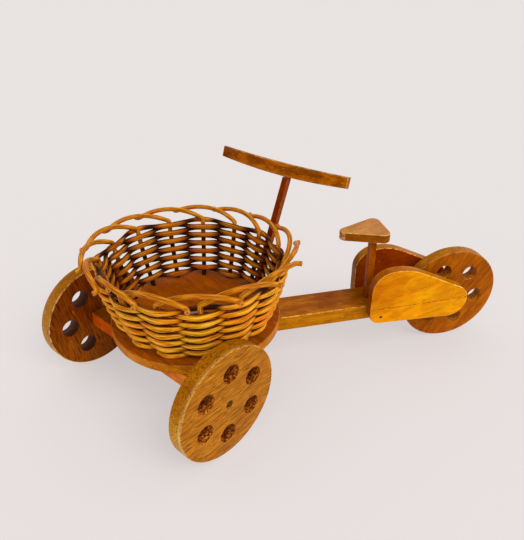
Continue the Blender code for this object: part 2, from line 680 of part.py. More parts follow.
def makeHandlebar(front):
    topMiddle, along, up, out = barFrame()
    foot, direction = stemAxis()
    stemStation = 2 * BAR_SHIFT / BAR_LENGTH

    def barPoint(s, height, depth):
        return topMiddle + along * (s * BAR_LENGTH / 2 - BAR_SHIFT) + up * height + out * depth

    def topEdge(s):
        return -BAR_DIP * (1 - s * s)

    def bottomEdge(s):
        return -BAR_END_HEIGHT - (BAR_MIDDLE_HEIGHT + BAR_DIP - BAR_END_HEIGHT) * (1 - s * s)

    stations = np.linspace(-1.0, 1.0, 13)
    half = BAR_THICKNESS / 2
    edge = EDGE_CHAMFER
    rings = []
    for depth, inset in ((-half, edge), (-half + edge, 0.0), (half - edge, 0.0), (half, edge)):
        squeeze = 1 - inset * 2 / BAR_LENGTH
        top = [barPoint(s * squeeze, topEdge(s) - inset, depth) for s in stations]
        bottom = [barPoint(s * squeeze, bottomEdge(s) + inset, depth) for s in reversed(stations)]
        rings.append(top + bottom)
    bar = addPiece("handlebar", addRings(bmesh.new(), rings), "amber_wood", front)

    # The stem runs from the platform to the bar's underside, its faces in line with the bar's
    ends = ((Vector((0, 0, 1)), foot + Vector((0, 0, GAP))),
            (up, topMiddle + up * (bottomEdge(stemStation) - GAP)))
    rings = []
    for normal, point in ends:
        ring = []
        for a, b in ((-1, -1), (1, -1), (1, 1), (-1, 1)):
            corner = foot + along * (a * STEM_WIDTH / 2) + out * (b * STEM_DEPTH / 2)
            reach = (point - corner).dot(normal) / direction.dot(normal)
            ring.append(corner + direction * reach)
        rings.append(ring)
    stem = addRings(bmesh.new(), rings)
    bmesh.ops.bevel(stem, geom=list(stem.edges), offset=STICK_CHAMFER, segments=1, affect="EDGES")
    stem = addPiece("handlebar_stem", stem, "amber_wood", front)

    # One nail comes up through the platform, the other down through the bar
    bottom = foot + direction * ((platformBottom + NAIL_SINK - platformTop) / direction.z)
    length = STEM_NAIL_BITE + (foot - bottom).length
    tip = bottom + direction * length
    lower = makeNail(clearProfile(stemNail(length), BORE_CLEARANCE, 0.0), tip, -direction)
    cut(stem, addCutter("stem_foot_cutter", lower, front))
    head = topMiddle + up * (topEdge(stemStation) - NAIL_SINK)
    barHeight = topEdge(stemStation) - bottomEdge(stemStation)
    length = barHeight + STEM_NAIL_BITE
    tip = head - up * length
    addPiece("bar_nail", makeNail(stemNail(length), tip, up), "dark_steel", front)
    clear = makeNail(clearProfile(stemNail(length), BORE_CLEARANCE, CUTTER_MARGIN), tip, up)
    cutter = addCutter("bar_nail_cutter", clear, front)
    cut(stem, cutter)
    cut(bar, cutter)


# Basket: stakes stand in the platform, the weave closes them, and they arch over as its border
def wallRadius(share):
    """Outside of the weave at a share of its height, with a slight outward bow."""
    straight = BASKET_FOOT_RADIUS + (BASKET_TOP_RADIUS - BASKET_FOOT_RADIUS) * share
    return straight + BASKET_BOW * 4 * share * (1 - share)


def middleRadius(share):
    return wallRadius(share) - BASKET_WALL_THICKNESS / 2


def highness(angle):
    """1 on the basket's high side, -1 opposite it."""
    return np.cos(angle - math.radians(HIGH_SIDE))


def dent(angle):
    """How far the basket's top is pressed in at an angle, so that the stem has room."""
    beside = (np.degrees(angle) - STEM_SIDE + 180) % 360 - 180
    return BASKET_DENT * np.exp(-(beside / DENT_WIDTH) ** 2)


def stakePath(k, start, end=None):
    """Middle line of one stake, from start above the platform to end, or to its arch's tip."""
    angle = math.radians(STAKE_OFFSET) + 2 * math.pi * k / STAKES
    rise = wallTop + WEAVE_LIFT * highness(angle) - platformTop
    count = STAKE_WALL_POINTS if end is None else 2
    heights = np.linspace(start, rise if end is None else end, count)
    points = []
    for height in heights:
        radius = middleRadius(height / rise) - dent(angle) * height / rise
        points.append((radius * math.cos(angle), radius * math.sin(angle), platformTop + height))
    if end is not None:
        return points
    pitch = 2 * math.pi / STAKES
    for share in np.linspace(0.0, ARCH_END, STAKE_ARCH_POINTS + 1)[1:]:
        along = share - ARCH_ROUNDNESS * math.sin(2 * math.pi * share) / (2 * math.pi)
        turn = angle + ARCH_REACH * pitch * along
        up = math.sin(math.pi * share)
        height = WEAVE_LIFT * highness(turn) + (ARCH_HEIGHT + ARCH_LIFT * highness(turn)) * up
        radius = middleRadius(1.0) + ARCH_SPREAD * along + ARCH_BOW * up - dent(turn)
        points.append((radius * math.cos(turn), radius * math.sin(turn), wallTop + height))
    return points + tipPoints(points, turn)


def tipPoints(path, turn):
    """The cut end of a stake: a parabola from its arch's direction to straight outwards."""
    last = np.array(path[-1])
    heading = last - np.array(path[-2])
    corner = last + heading / np.linalg.norm(heading) * TIP_REACH
    tip = corner + np.array([math.cos(turn), math.sin(turn), 0.0]) * TIP_REACH
    shares = np.linspace(0.0, 1.0, TIP_POINTS + 1)[1:]
    return [tuple((1 - s) ** 2 * last + 2 * s * (1 - s) * corner + s ** 2 * tip) for s in shares]


def wallRing(height, halfThickness):
    """A ring of the wall: heights above its bottom, and distances out from its middle, by column."""
    angles = math.radians(STAKE_OFFSET) + np.arange(2 * STAKES) * math.pi / STAKES
    share = height / BASKET_WALL_HEIGHT
    radius = middleRadius(share) + halfThickness - share * dent(angles)
    lift = wallBottom + height + share * WEAVE_LIFT * highness(angles)
    return np.stack([radius * np.cos(angles), radius * np.sin(angles), lift], axis=1)


def weaveLevels(side):
    """Rings up one face of the wall, side 1 outside and -1 inside. The weaver climbs as it goes
    round, and passes the stakes outside and inside by turns. Every other column is between stakes."""
    column = np.arange(2 * STAKES)
    atStake = column % 2 == 0
    turned = (column / 2 - WEAVE_START) % STAKES
    climb = np.where(turned > STAKES - 1, STAKES / 2, turned) / STAKES
    plain = np.full(2 * STAKES, side * WEAVE_COVER)
    levels = [wallRing(np.zeros(2 * STAKES), plain)]
    for row in range(WEAVE_ROWS):
        middle = WEAVE_FIRST + WEAVE_RISE * (row + climb)
        proud = (turned + row) % 2 == (0 if side > 0 else 1)
        relief = np.where(proud, BASKET_WALL_THICKNESS / 2, WEAVE_COVER)
        relief = side * np.where(atStake, relief, WEAVE_WAIST)
        levels += [wallRing(middle + shift, relief) for shift in (-WEAVE_CROWN / 2, WEAVE_CROWN / 2)]
    levels.append(wallRing(np.full(2 * STAKES, BASKET_WALL_HEIGHT), plain))
    return levels


def makeBasket(front):
    rings = weaveLevels(1) + weaveLevels(-1)[::-1]
    wall = addPiece("basket_wall", addRings(bmesh.new(), rings, closedLoop=True), "cane", front)
    channels = bmesh.new()
    for k in range(STAKES):
        path = stakePath(k, start=-STAKE_SEAT)
        addPiece("stake_%02d" % (k + 1), sweep(path, STAKE_RADIUS, STAKE_SIDES), "cane", front)
        sweep(path[:STAKE_WALL_POINTS + 2], STAKE_RADIUS + CHANNEL_CLEARANCE, STAKE_SIDES, channels)
    cut(wall, addCutter("basket_channel_cutter", channels, front))


# The bounding box, with the origin at the middle of its floor
def centreOnFloor(root):
    bpy.context.view_layer.update()
    graph = bpy.context.evaluated_depsgraph_get()
    corners = []
    for piece in bpy.context.scene.objects:
        if piece.type == "MESH" and not piece.hide_render:
            shape = piece.evaluated_get(graph)
            corners += [piece.matrix_world @ vertex.co for vertex in shape.data.vertices]
    corners = np.array(corners)
    low, high = corners.min(axis=0), corners.max(axis=0)
    root.location = (-(low[0] + high[0]) / 2, -(low[1] + high[1]) / 2, -low[2])


def main():
    for old in list(bpy.data.objects):
        bpy.data.objects.remove(old, do_unlink=True)
    root = makeEmpty("cart", (0.0, 0.0, 0.0))
    front = makeEmpty("front_pivot", pivotPlace(), FRONT_TURN, root)
    makeRail(root)
    makeCheeks(root)
    makeRearAxle(root)
    makeSeat(root)
    makePivot(root)
    makeBeam(front)
    makePlatform(front)
    makeBasket(front)
    makeHandlebar(front)
    pinBore = PIN_RADIUS + BORE_CLEARANCE
    middle = wheelInner + FRONT_WHEEL_THICKNESS / 2
    frontSizes = (FRONT_WHEEL_RADIUS, FRONT_WHEEL_THICKNESS, FRONT_WHEEL_HOLE_RADIUS)
    frontWheels = (("left", -1, LEFT_WHEEL_TURN), ("right", 1, RIGHT_WHEEL_TURN))
    for name, side, turn in frontWheels:
        place = (-BEAM_AHEAD, BEAM_SHIFT + side * middle, FRONT_WHEEL_RADIUS)
        makeWheel("wheel_front_" + name, frontSizes, pinBore, turn, front, place, side)
    rearBore = REAR_AXLE_RADIUS + BORE_CLEARANCE
    rearSizes = (REAR_WHEEL_RADIUS, REAR_WHEEL_THICKNESS, REAR_WHEEL_HOLE_RADIUS)
    makeWheel("wheel_rear", rearSizes, rearBore, REAR_WHEEL_TURN, root, (0.0, 0.0, REAR_WHEEL_RADIUS))
    centreOnFloor(root)


main()
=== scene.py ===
import math

import bmesh
import bpy
import numpy as np
from mathutils import Matrix, Vector


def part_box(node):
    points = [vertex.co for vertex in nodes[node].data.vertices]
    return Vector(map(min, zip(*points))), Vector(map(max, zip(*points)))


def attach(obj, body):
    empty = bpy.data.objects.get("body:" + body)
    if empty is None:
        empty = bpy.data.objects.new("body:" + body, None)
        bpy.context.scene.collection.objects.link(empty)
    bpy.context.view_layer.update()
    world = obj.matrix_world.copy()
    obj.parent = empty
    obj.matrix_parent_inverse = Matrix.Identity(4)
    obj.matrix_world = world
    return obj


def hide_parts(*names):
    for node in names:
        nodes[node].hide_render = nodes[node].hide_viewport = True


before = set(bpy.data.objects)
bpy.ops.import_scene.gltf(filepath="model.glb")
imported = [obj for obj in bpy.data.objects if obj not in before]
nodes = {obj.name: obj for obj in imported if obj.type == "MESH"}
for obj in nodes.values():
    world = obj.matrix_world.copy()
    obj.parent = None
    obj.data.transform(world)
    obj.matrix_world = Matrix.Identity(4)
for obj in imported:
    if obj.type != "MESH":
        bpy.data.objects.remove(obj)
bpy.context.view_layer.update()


def middleOf(node):
    low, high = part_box(node)
    return (low + high) / 2


# Places that the pieces share. The front's own axes: back along its middle line, and to its right
pivot = middleOf("platform")
rearAxle = middleOf("wheel_rear")
frontTurn = math.radians(35.2)
frontBack = Vector((math.cos(frontTurn), math.sin(frontTurn), 0.0))
frontRight = Vector((-math.sin(frontTurn), math.cos(frontTurn), 0.0))
east, north, up = Vector((1, 0, 0)), Vector((0, 1, 0)), Vector((0, 0, 1))
print("frame loaded:", len(nodes), "solids")


# Colours are written as they look on a screen, 0 to 255, and turned to linear light
def tint(red, green, blue):
    screen = np.array([red, green, blue]) / 255
    linear = np.where(screen <= 0.04045, screen / 12.92, ((screen + 0.055) / 1.055) ** 2.4)
    return (*linear.tolist(), 1.0)


# A tone multiplies the linear colour that lies under it
def tone(red, green, blue):
    return (red, green, blue, 1.0)


# A node with its settings, and with values or other nodes' outputs in its sockets
def addNode(tree, kind, inputs=None, **settings):
    node = tree.nodes.new(kind)
    for name, value in settings.items():
        setattr(node, name, value)
    for socket, value in (inputs or {}).items():
        if isinstance(value, bpy.types.NodeSocket):
            tree.links.new(value, node.inputs[socket])
        else:
            node.inputs[socket].default_value = value
    return node


def vectorMath(tree, operation, first, second, output="Vector"):
    inputs = {0: first, 1: second}
    return addNode(tree, "ShaderNodeVectorMath", inputs, operation=operation).outputs[output]


# A noise has its scale in waves per metre and is drawn out along X where its stretch is under 1
def noise(tree, vector, scale, stretch=1.0, detail=2.0, roughness=0.5, distortion=0.0, output="Fac"):
    drawn = vectorMath(tree, "MULTIPLY", vector, (stretch, 1.0, 1.0))
    inputs = {"Vector": drawn, "Scale": scale, "Detail": detail, "Roughness": roughness,
              "Distortion": distortion}
    return addNode(tree, "ShaderNodeTexNoise", inputs).outputs[output]


# Runs smoothly from start to end while the value goes from low to high
def ramp(tree, value, low, high, start=0.0, end=1.0):
    inputs = {"Value": value, "From Min": low, "From Max": high, "To Min": start, "To Max": end}
    return addNode(tree, "ShaderNodeMapRange", inputs, interpolation_type="SMOOTHSTEP").outputs["Result"]


def sums(tree, operation, first, second=0.5):
    return addNode(tree, "ShaderNodeMath", {0: first, 1: second}, operation=operation).outputs[0]


def times(tree, first, second):
    return sums(tree, "MULTIPLY", first, second)


def mixed(tree, share, first, second, blend="MIX"):
    inputs = {0: share, 6: first, 7: second}
    return addNode(tree, "ShaderNodeMix", inputs, data_type="RGBA", blend_type=blend).outputs[2]


# The colour times a tone, by a share
def toned(tree, share, colour, overTone):
    return mixed(tree, share, colour, overTone, "MULTIPLY")


# A group's sockets are listed by kind: Vector, Float and Color
def makeGroup(name, inputs, outputs):
    tree = bpy.data.node_groups.new(name, "ShaderNodeTree")
    for direction, sockets in (("INPUT", inputs), ("OUTPUT", outputs)):
        for kind, labels in sockets.items():
            for label in labels:
                tree.interface.new_socket(label, in_out=direction, socket_type="NodeSocket" + kind)
    return tree, tree.nodes.new("NodeGroupInput").outputs, tree.nodes.new("NodeGroupOutput").inputs


# What every skin group puts out
def joinSkin(tree, result, colour, roughness, height):
    for label, value in (("Colour", colour), ("Roughness", roughness), ("Height", height)):
        tree.links.new(value, result[label])


skinOutputs = {"Color": ["Colour"], "Float": ["Roughness", "Height"]}
colourOutput = {"Color": ["Colour"]}

# The wood's patterns, and the spans of each value between which a mark fades in. The side, back and
# top spans are of the face's direction, and the bore shade and band spans are heights along Z in metres.
woodPatterns = {
    "figure": {"scale": 190.0, "stretch": 0.10, "detail": 3.0, "roughness": 0.6},
    "fibres": {"scale": 1400.0, "stretch": 0.022, "detail": 3.0, "roughness": 0.6},
    "pores": {"scale": 1500.0, "stretch": 0.05, "detail": 1.0},
    "clouds": {"scale": 110.0, "stretch": 0.55, "detail": 5.0, "roughness": 0.62, "distortion": 0.5},
    "scuffs": {"scale": 330.0, "stretch": 0.35, "detail": 2.0, "roughness": 0.4},
    "grit": {"scale": 800.0, "stretch": 0.5, "detail": 3.0, "roughness": 0.65, "distortion": 0.3},
    "edgeBreakup": {"scale": 240.0, "detail": 4.0, "roughness": 0.65},
    "bend": {"scale": 22.0, "output": "Color"},
}
woodSpans = {
    "figure": (0.35, 0.66), "fibres": (0.46, 0.60), "pores": (0.56, 0.66), "clouds": (0.42, 0.62),
    "scuffs": (0.71, 0.76), "edgeBreakup": (0.36, 0.62), "darkGrit": (0.55, 0.63), "glintGrit": (0.42, 0.35),
    "chips": (0.46, 0.64), "bandGrit": (0.45, 0.53), "side": (0.75, 0.45), "back": (-0.45, -0.75),
    "top": (0.25, 0.85), "boreShade": (0.0055, -0.0030), "band": (0.0026, 0.0058),
}
# How far the grain wavers in metres, how rough the varnish is, and what each mark adds to the bump
woodFinish = {
    "bendDepth": (0.0, 0.006, 0.006), "smoothest": 0.26, "fibreRoughness": 0.22, "wornRoughness": 0.25,
    "poreDepth": 0.8, "cloudDepth": 0.6, "chipDepth": 9.0,
}


# Varnished wood. The vector's X runs along the grain and its Z out of the board's face. Over a light
# and dark figure lie fibres, clouds in the varnish and pores. Side, back and top tints tone the faces
# that look those ways: painted light and shade along with the wood's own tone. Grit flecks the sides
# dark, with pale flecks that are painted glints; rough chips line the bores and take painted shade
# with depth; a band of wear and painted glint runs round the rim near the face; and scuffs and rubbed
# corners come last, the corners pale with wear and painted highlight.
def makeWoodGroup():
    tree, given, result = makeGroup("varnishedWood", {
        "Vector": ["Vector"],
        "Float": ["Facing", "Up", "Edge", "Bore", "Figure", "Fibres", "Pores", "Clouds", "Scuffs", "Edge Wear And Highlight",
                  "Side Flecks And Glints", "Rim Wear And Glint"],
        "Color": ["Light", "Dark", "Pore Colour", "Wear And Highlight Colour", "Bore Colour", "Fleck Colour",
                  "Side Tint", "Back Tint", "Top Tint", "Bore Shade Tint"]}, skinOutputs)

    def pattern(name, vector):
        return noise(tree, vector, **woodPatterns[name])

    def mask(name, value):
        return ramp(tree, value, *woodSpans[name])

    plain = given["Vector"]
    bend = vectorMath(tree, "SUBTRACT", pattern("bend", plain), (0.5, 0.5, 0.5))
    bend = vectorMath(tree, "MULTIPLY", bend, woodFinish["bendDepth"])
    grain = vectorMath(tree, "ADD", plain, bend)
    fibres = pattern("fibres", grain)
    pores = mask("pores", pattern("pores", grain))
    clouds = mask("clouds", pattern("clouds", plain))
    scuffs = mask("scuffs", pattern("scuffs", plain))
    grit = pattern("grit", plain)

    figure = times(tree, mask("figure", pattern("figure", grain)), given["Figure"])
    colour = mixed(tree, figure, given["Light"], given["Dark"])
    colour = mixed(tree, times(tree, mask("fibres", fibres), given["Fibres"]), colour, given["Dark"])
    colour = mixed(tree, times(tree, clouds, given["Clouds"]), colour, given["Pore Colour"])
    colour = mixed(tree, times(tree, pores, given["Pores"]), colour, given["Pore Colour"])

    # Side, back and top tints: painted light and shade by the face's direction, along with the wood's own
    # tone
    side = mask("side", sums(tree, "ABSOLUTE", given["Facing"]))
    colour = toned(tree, side, colour, given["Side Tint"])
    colour = toned(tree, mask("back", given["Facing"]), colour, given["Back Tint"])
    colour = toned(tree, times(tree, side, mask("top", given["Up"])), colour, given["Top Tint"])

    # Dark grit flecks on the sides, and pale flecks that are painted glints
    flecked = times(tree, side, given["Side Flecks And Glints"])
    colour = mixed(tree, times(tree, mask("darkGrit", grit), flecked), colour, given["Bore Colour"])
    colour = mixed(tree, times(tree, mask("glintGrit", grit), flecked), colour, given["Fleck Colour"])
    # A band of wear and painted glint round the rim near the face
    depth = addNode(tree, "ShaderNodeSeparateXYZ", {0: plain}).outputs["Z"]
    band = times(tree, times(tree, mask("band", depth), side), mask("bandGrit", grit))
    colour = mixed(tree, times(tree, band, given["Rim Wear And Glint"]), colour, given["Wear And Highlight Colour"])
    # Chips on the bore walls, with painted shade that deepens into the bore
    chips = mixed(tree, mask("chips", grit), given["Bore Colour"], given["Fleck Colour"])
    chips = toned(tree, mask("boreShade", depth), chips, given["Bore Shade Tint"])
    colour = mixed(tree, given["Bore"], colour, chips)

    colour = mixed(tree, times(tree, scuffs, given["Scuffs"]), colour, given["Wear And Highlight Colour"])
    # Rubbed corners: wear and painted highlight along the chamfers
    edgeMarks = times(tree, mask("edgeBreakup", pattern("edgeBreakup", plain)), given["Edge"])
    wearAndHighlight = times(tree, edgeMarks, given["Edge Wear And Highlight"])
    colour = mixed(tree, wearAndHighlight, colour, given["Wear And Highlight Colour"])

    rough = sums(tree, "ADD", times(tree, fibres, woodFinish["fibreRoughness"]), woodFinish["smoothest"])
    rough = sums(tree, "ADD", rough, times(tree, wearAndHighlight, woodFinish["wornRoughness"]))
    height = sums(tree, "SUBTRACT", fibres, times(tree, pores, woodFinish["poreDepth"]))
    height = sums(tree, "ADD", height, times(tree, clouds, woodFinish["cloudDepth"]))
    chipped = times(tree, times(tree, grit, given["Bore"]), woodFinish["chipDepth"])
    joinSkin(tree, result, colour, rough, sums(tree, "ADD", height, chipped))
    return tree


patchShape = {"wobbleScale": 60.0, "wobble": 0.5, "fade": (1.25, 0.35), "faces": (0.45, 0.75)}


# A patch of another tone: it fades out with the distance from a place on the piece, and the board's
# two faces can be left without it
def makePatchGroup():
    tree, given, result = makeGroup("tonePatch", {
        "Vector": ["Vector", "Place"], "Float": ["Facing", "Radius", "Sides Only"],
        "Color": ["Colour", "Tint"]}, colourOutput)
    wobble = noise(tree, given["Vector"], patchShape["wobbleScale"])
    away = vectorMath(tree, "DISTANCE", given["Vector"], given["Place"], "Value")
    share = sums(tree, "DIVIDE", away, given["Radius"])
    share = sums(tree, "ADD", share, times(tree, wobble, patchShape["wobble"]))
    faces = ramp(tree, sums(tree, "ABSOLUTE", given["Facing"]), *patchShape["faces"])
    kept = sums(tree, "SUBTRACT", 1.0, times(tree, faces, given["Sides Only"]))
    strength = times(tree, ramp(tree, share, *patchShape["fade"]), kept)
    tree.links.new(toned(tree, strength, given["Colour"], given["Tint"]), result["Colour"])
    return tree


splitShape = {
    "face": (0.80, 0.90), "breaks": {"scale": 300.0, "detail": 3.0, "roughness": 0.6},
    "breakSpan": (0.36, 0.52),
}


# Two boards glued edge to edge: a thin broken line where a plane meets the face, and another tone
# on one side of it
def makeSplitGroup():
    tree, given, result = makeGroup("boardSplit", {
        "Vector": ["Vector", "Place", "Across"], "Float": ["Facing", "Width"],
        "Color": ["Colour", "Line Tint", "Side Tint"]}, colourOutput)
    offset = vectorMath(tree, "SUBTRACT", given["Vector"], given["Place"])
    away = vectorMath(tree, "DOT_PRODUCT", offset, given["Across"], "Value")
    thin = sums(tree, "LESS_THAN", sums(tree, "ABSOLUTE", away), given["Width"])
    face = ramp(tree, given["Facing"], *splitShape["face"])
    broken = ramp(tree, noise(tree, given["Vector"], **splitShape["breaks"]), *splitShape["breakSpan"])
    side = times(tree, sums(tree, "GREATER_THAN", away, 0.0), face)
    colour = toned(tree, side, given["Colour"], given["Side Tint"])
    colour = toned(tree, times(tree, times(tree, thin, face), broken), colour, given["Line Tint"])
    tree.links.new(colour, result["Colour"])
    return tree


canePatterns = {
    "tones": {"scale": 90.0, "stretch": 0.35, "detail": 3.0},
    "streaks": {"scale": 1250.0, "stretch": 0.05, "detail": 3.0, "roughness": 0.65},
    "regions": {"scale": 26.0},
}
caneSpans = {
    "tones": (0.34, 0.66), "darkStreaks": (0.48, 0.57), "highlightStreaks": (0.44, 0.36),
    "regions": (0.35, 0.65), "cut": (0.02, 0.10), "pith": (0.62, 0.85),
}
caneFinish = {
    "highlightShare": 0.75, "regionShare": 0.25, "shadeTone": tone(0.50, 0.20, 0.08), "smoothest": 0.22,
    "streakRoughness": 0.30, "cutRoughness": 0.3,
}


# Cane: light and dark stretches with dark streaks and pale streaks of painted highlight along them.
# Where a strand lies in shade it is painted warmer, then as dark as the shade and pith colour, and a
# cut end shows its paler core and dark pith.
def makeCaneGroup():
    tree, given, result = makeGroup("caneSkin", {
        "Vector": ["Vector", "Place"], "Float": ["Painted Shade", "Core", "Streaks"],
        "Color": ["Light", "Dark", "Streak Colour", "Highlight Colour", "Shade And Pith Colour", "Cut Colour"]},
        skinOutputs)

    def mask(name, value):
        return ramp(tree, value, *caneSpans[name])

    tones = mask("tones", noise(tree, given["Vector"], **canePatterns["tones"]))
    streaks = noise(tree, given["Vector"], **canePatterns["streaks"])
    regions = mask("regions", noise(tree, given["Place"], **canePatterns["regions"]))
    paintedShade = given["Painted Shade"]
    cut = mask("cut", given["Core"])
    colour = mixed(tree, tones, given["Light"], given["Dark"])
    dark = times(tree, mask("darkStreaks", streaks), given["Streaks"])
    colour = mixed(tree, dark, colour, given["Streak Colour"])
    # Pale streaks: painted highlights along the cane
    streakHighlight = times(tree, mask("highlightStreaks", streaks), caneFinish["highlightShare"])
    colour = mixed(tree, streakHighlight, colour, given["Highlight Colour"])
    colour = mixed(tree, times(tree, regions, caneFinish["regionShare"]), colour, given["Dark"])
    # Painted shade: warmer, then dark, where the strand is tucked or lies in shade
    colour = toned(tree, paintedShade, colour, caneFinish["shadeTone"])
    colour = mixed(tree, times(tree, paintedShade, paintedShade), colour, given["Shade And Pith Colour"])
    ring = mixed(tree, mask("pith", given["Core"]), given["Cut Colour"], given["Shade And Pith Colour"])
    colour = mixed(tree, cut, colour, ring)
    rough = sums(tree, "ADD", times(tree, streaks, caneFinish["streakRoughness"]), caneFinish["smoothest"])
    rough = sums(tree, "ADD", rough, times(tree, cut, caneFinish["cutRoughness"]))
    joinSkin(tree, result, colour, rough, streaks)
    return tree


steelPatterns = {
    "tarnish": {"scale": 700.0, "detail": 4.0, "roughness": 0.6}, "tarnishSpan": (0.35, 0.65),
    "grit": {"scale": 3500.0}, "roughness": (0.32, 0.62),
}


# Small steel pieces: a clean tone broken by tarnish
def makeSteelGroup():
    tree, given, result = makeGroup(
        "tarnishedSteel", {"Vector": ["Vector"], "Color": ["Clean", "Tarnish"]}, skinOutputs)
    tarnish = noise(tree, given["Vector"], **steelPatterns["tarnish"])
    tarnish = ramp(tree, tarnish, *steelPatterns["tarnishSpan"])
    colour = mixed(tree, tarnish, given["Clean"], given["Tarnish"])
    rough = ramp(tree, tarnish, 0.0, 1.0, *steelPatterns["roughness"])
    joinSkin(tree, result, colour, rough, noise(tree, given["Vector"], **steelPatterns["grit"]))
    return tree


woodGroup = makeWoodGroup()
patchGroup = makePatchGroup()
splitGroup = makeSplitGroup()
caneGroup = makeCaneGroup()
steelGroup = makeSteelGroup()
print("node groups made")

# What each kind of material sets on its shader, and the strength and depth in metres of its bump
gloss = {"Specular IOR Level": 0.06, "Specular Tint": tone(1.0, 0.55, 0.16)}
finishes = {
    "wood": {"bump": 0.35, "bumpDepth": 0.0003, "shader": gloss},
    "cane": {"bump": 0.5, "bumpDepth": 0.0003,
             "shader": {**gloss, "Coat Weight": 0.03, "Coat Roughness": 0.20}},
    "steel": {"bump": 0.3, "bumpDepth": 0.0001, "shader": {**gloss, "Metallic": 0.9}},
}


# A material whose colour, roughness and bump come from a group
def skinMaterial(material, kind, group, inputs):
    finish = finishes[kind]
    tree = material.node_tree
    shader = tree.nodes["Principled BSDF"]
    for socket, value in finish["shader"].items():
        shader.inputs[socket].default_value = value
    skin = addNode(tree, "ShaderNodeGroup", inputs, node_tree=group)
    relief = addNode(tree, "ShaderNodeBump", {
        "Strength": finish["bump"], "Distance": finish["bumpDepth"], "Height": skin.outputs["Height"]})
    tree.links.new(relief.outputs["Normal"], shader.inputs["Normal"])
    tree.links.new(skin.outputs["Roughness"], shader.inputs["Roughness"])
    tree.links.new(skin.outputs["Colour"], shader.inputs["Base Color"])
    return skin.outputs["Colour"]


def startMaterial(name):
    material = bpy.data.materials.new(name)
    material.use_nodes = True
    return material, material.node_tree


def attribute(tree, name):
    return addNode(tree, "ShaderNodeAttribute", attribute_name=name).outputs["Fac"]


# Each wood's colours, the tints of its sides and back, which paint light and shade on those faces
# along with the wood's own tone, and how much of each mark it shows
woodLooks = {
    "post": {
        "Light": tint(194, 97, 1), "Dark": tint(145, 64, 0), "Pore Colour": tint(92, 36, 0),
        "Wear And Highlight Colour": tint(214, 150, 80), "Side Tint": tint(211, 202, 91),
        "Back Tint": tint(200, 150, 120), "Figure": 0.6, "Fibres": 0.5, "Pores": 0.4, "Clouds": 0.3,
        "Scuffs": 0.2, "Edge Wear And Highlight": 0.4},
    "cheek": {
        "Light": tint(251, 167, 0), "Dark": tint(231, 131, 0), "Pore Colour": tint(176, 88, 0),
        "Wear And Highlight Colour": tint(250, 194, 84), "Side Tint": tint(163, 137, 79),
        "Back Tint": tint(169, 107, 81), "Figure": 0.6, "Fibres": 0.35, "Pores": 0.35, "Clouds": 0.38,
        "Scuffs": 0.3, "Edge Wear And Highlight": 0.85, "Top Tint": tone(1.55, 2.0, 1.2)},
    "wheel": {
        "Light": tint(207, 132, 19), "Dark": tint(154, 84, 3), "Pore Colour": tint(94, 45, 2),
        "Wear And Highlight Colour": tint(216, 172, 92), "Side Tint": tint(229, 223, 120),
        "Back Tint": tint(176, 136, 90), "Figure": 0.30, "Fibres": 1.0, "Pores": 0.75, "Clouds": 0.12,
        "Scuffs": 0.3, "Edge Wear And Highlight": 0.8, "Side Flecks And Glints": 0.3, "Bore Colour": tint(112, 48, 8),
        "Fleck Colour": tint(244, 150, 44), "Rim Wear And Glint": 0.55},
    "rearWheel": {
        "Light": tint(198, 107, 2), "Dark": tint(153, 71, 0), "Pore Colour": tint(92, 38, 0),
        "Wear And Highlight Colour": tint(205, 160, 100), "Side Tint": tint(255, 255, 192),
        "Back Tint": tint(255, 255, 255), "Figure": 0.65, "Fibres": 0.5, "Pores": 0.45, "Clouds": 0.30,
        "Scuffs": 0.5, "Edge Wear And Highlight": 0.45, "Side Flecks And Glints": 0.3, "Bore Colour": tint(176, 98, 12),
        "Fleck Colour": tint(236, 164, 36), "Top Tint": tone(1.0, 1.42, 1.8),
        "Bore Shade Tint": tone(0.62, 0.50, 0.35)},
    "rail": {
        "Light": tint(216, 141, 4), "Dark": tint(174, 97, 2), "Pore Colour": tint(119, 56, 4),
        "Wear And Highlight Colour": tint(242, 186, 88), "Side Tint": tint(235, 218, 255),
        "Back Tint": tint(220, 180, 160), "Figure": 0.6, "Fibres": 0.45, "Pores": 0.35, "Clouds": 0.35,
        "Scuffs": 0.4, "Edge Wear And Highlight": 1.0},
    "beam": {
        "Light": tint(230, 97, 1), "Dark": tint(189, 67, 1), "Pore Colour": tint(118, 43, 1),
        "Wear And Highlight Colour": tint(210, 130, 60), "Side Tint": tint(188, 255, 245),
        "Back Tint": tint(180, 160, 150), "Figure": 0.5, "Fibres": 0.35, "Pores": 0.3, "Clouds": 0.3,
        "Scuffs": 0.2, "Edge Wear And Highlight": 0.4},
    "seat": {
        "Light": tint(212, 146, 76), "Dark": tint(182, 112, 50), "Pore Colour": tint(132, 74, 30),
        "Wear And Highlight Colour": tint(230, 184, 120), "Side Tint": tint(186, 150, 40),
        "Back Tint": tint(200, 160, 130), "Figure": 0.45, "Fibres": 0.35, "Pores": 0.35, "Clouds": 0.25,
        "Scuffs": 0.3, "Edge Wear And Highlight": 0.7},
    "platform": {
        "Light": tint(184, 93, 2), "Dark": tint(149, 67, 1), "Pore Colour": tint(96, 40, 1),
        "Wear And Highlight Colour": tint(206, 150, 62), "Side Tint": tone(1.62, 2.35, 1.8),
        "Back Tint": tint(220, 180, 160), "Figure": 0.6, "Fibres": 0.5, "Pores": 0.4, "Clouds": 0.30,
        "Scuffs": 0.4, "Edge Wear And Highlight": 0.5, "Side Flecks And Glints": 0.28},
    "handlebar": {
        "Light": tint(244, 166, 14), "Dark": tint(191, 114, 10), "Pore Colour": tint(99, 58, 10),
        "Wear And Highlight Colour": tint(228, 176, 110), "Side Tint": tint(200, 170, 150),
        "Back Tint": tint(210, 170, 150), "Figure": 0.6, "Fibres": 0.4, "Pores": 0.3, "Clouds": 0.6,
        "Scuffs": 0.3, "Edge Wear And Highlight": 0.7},
}
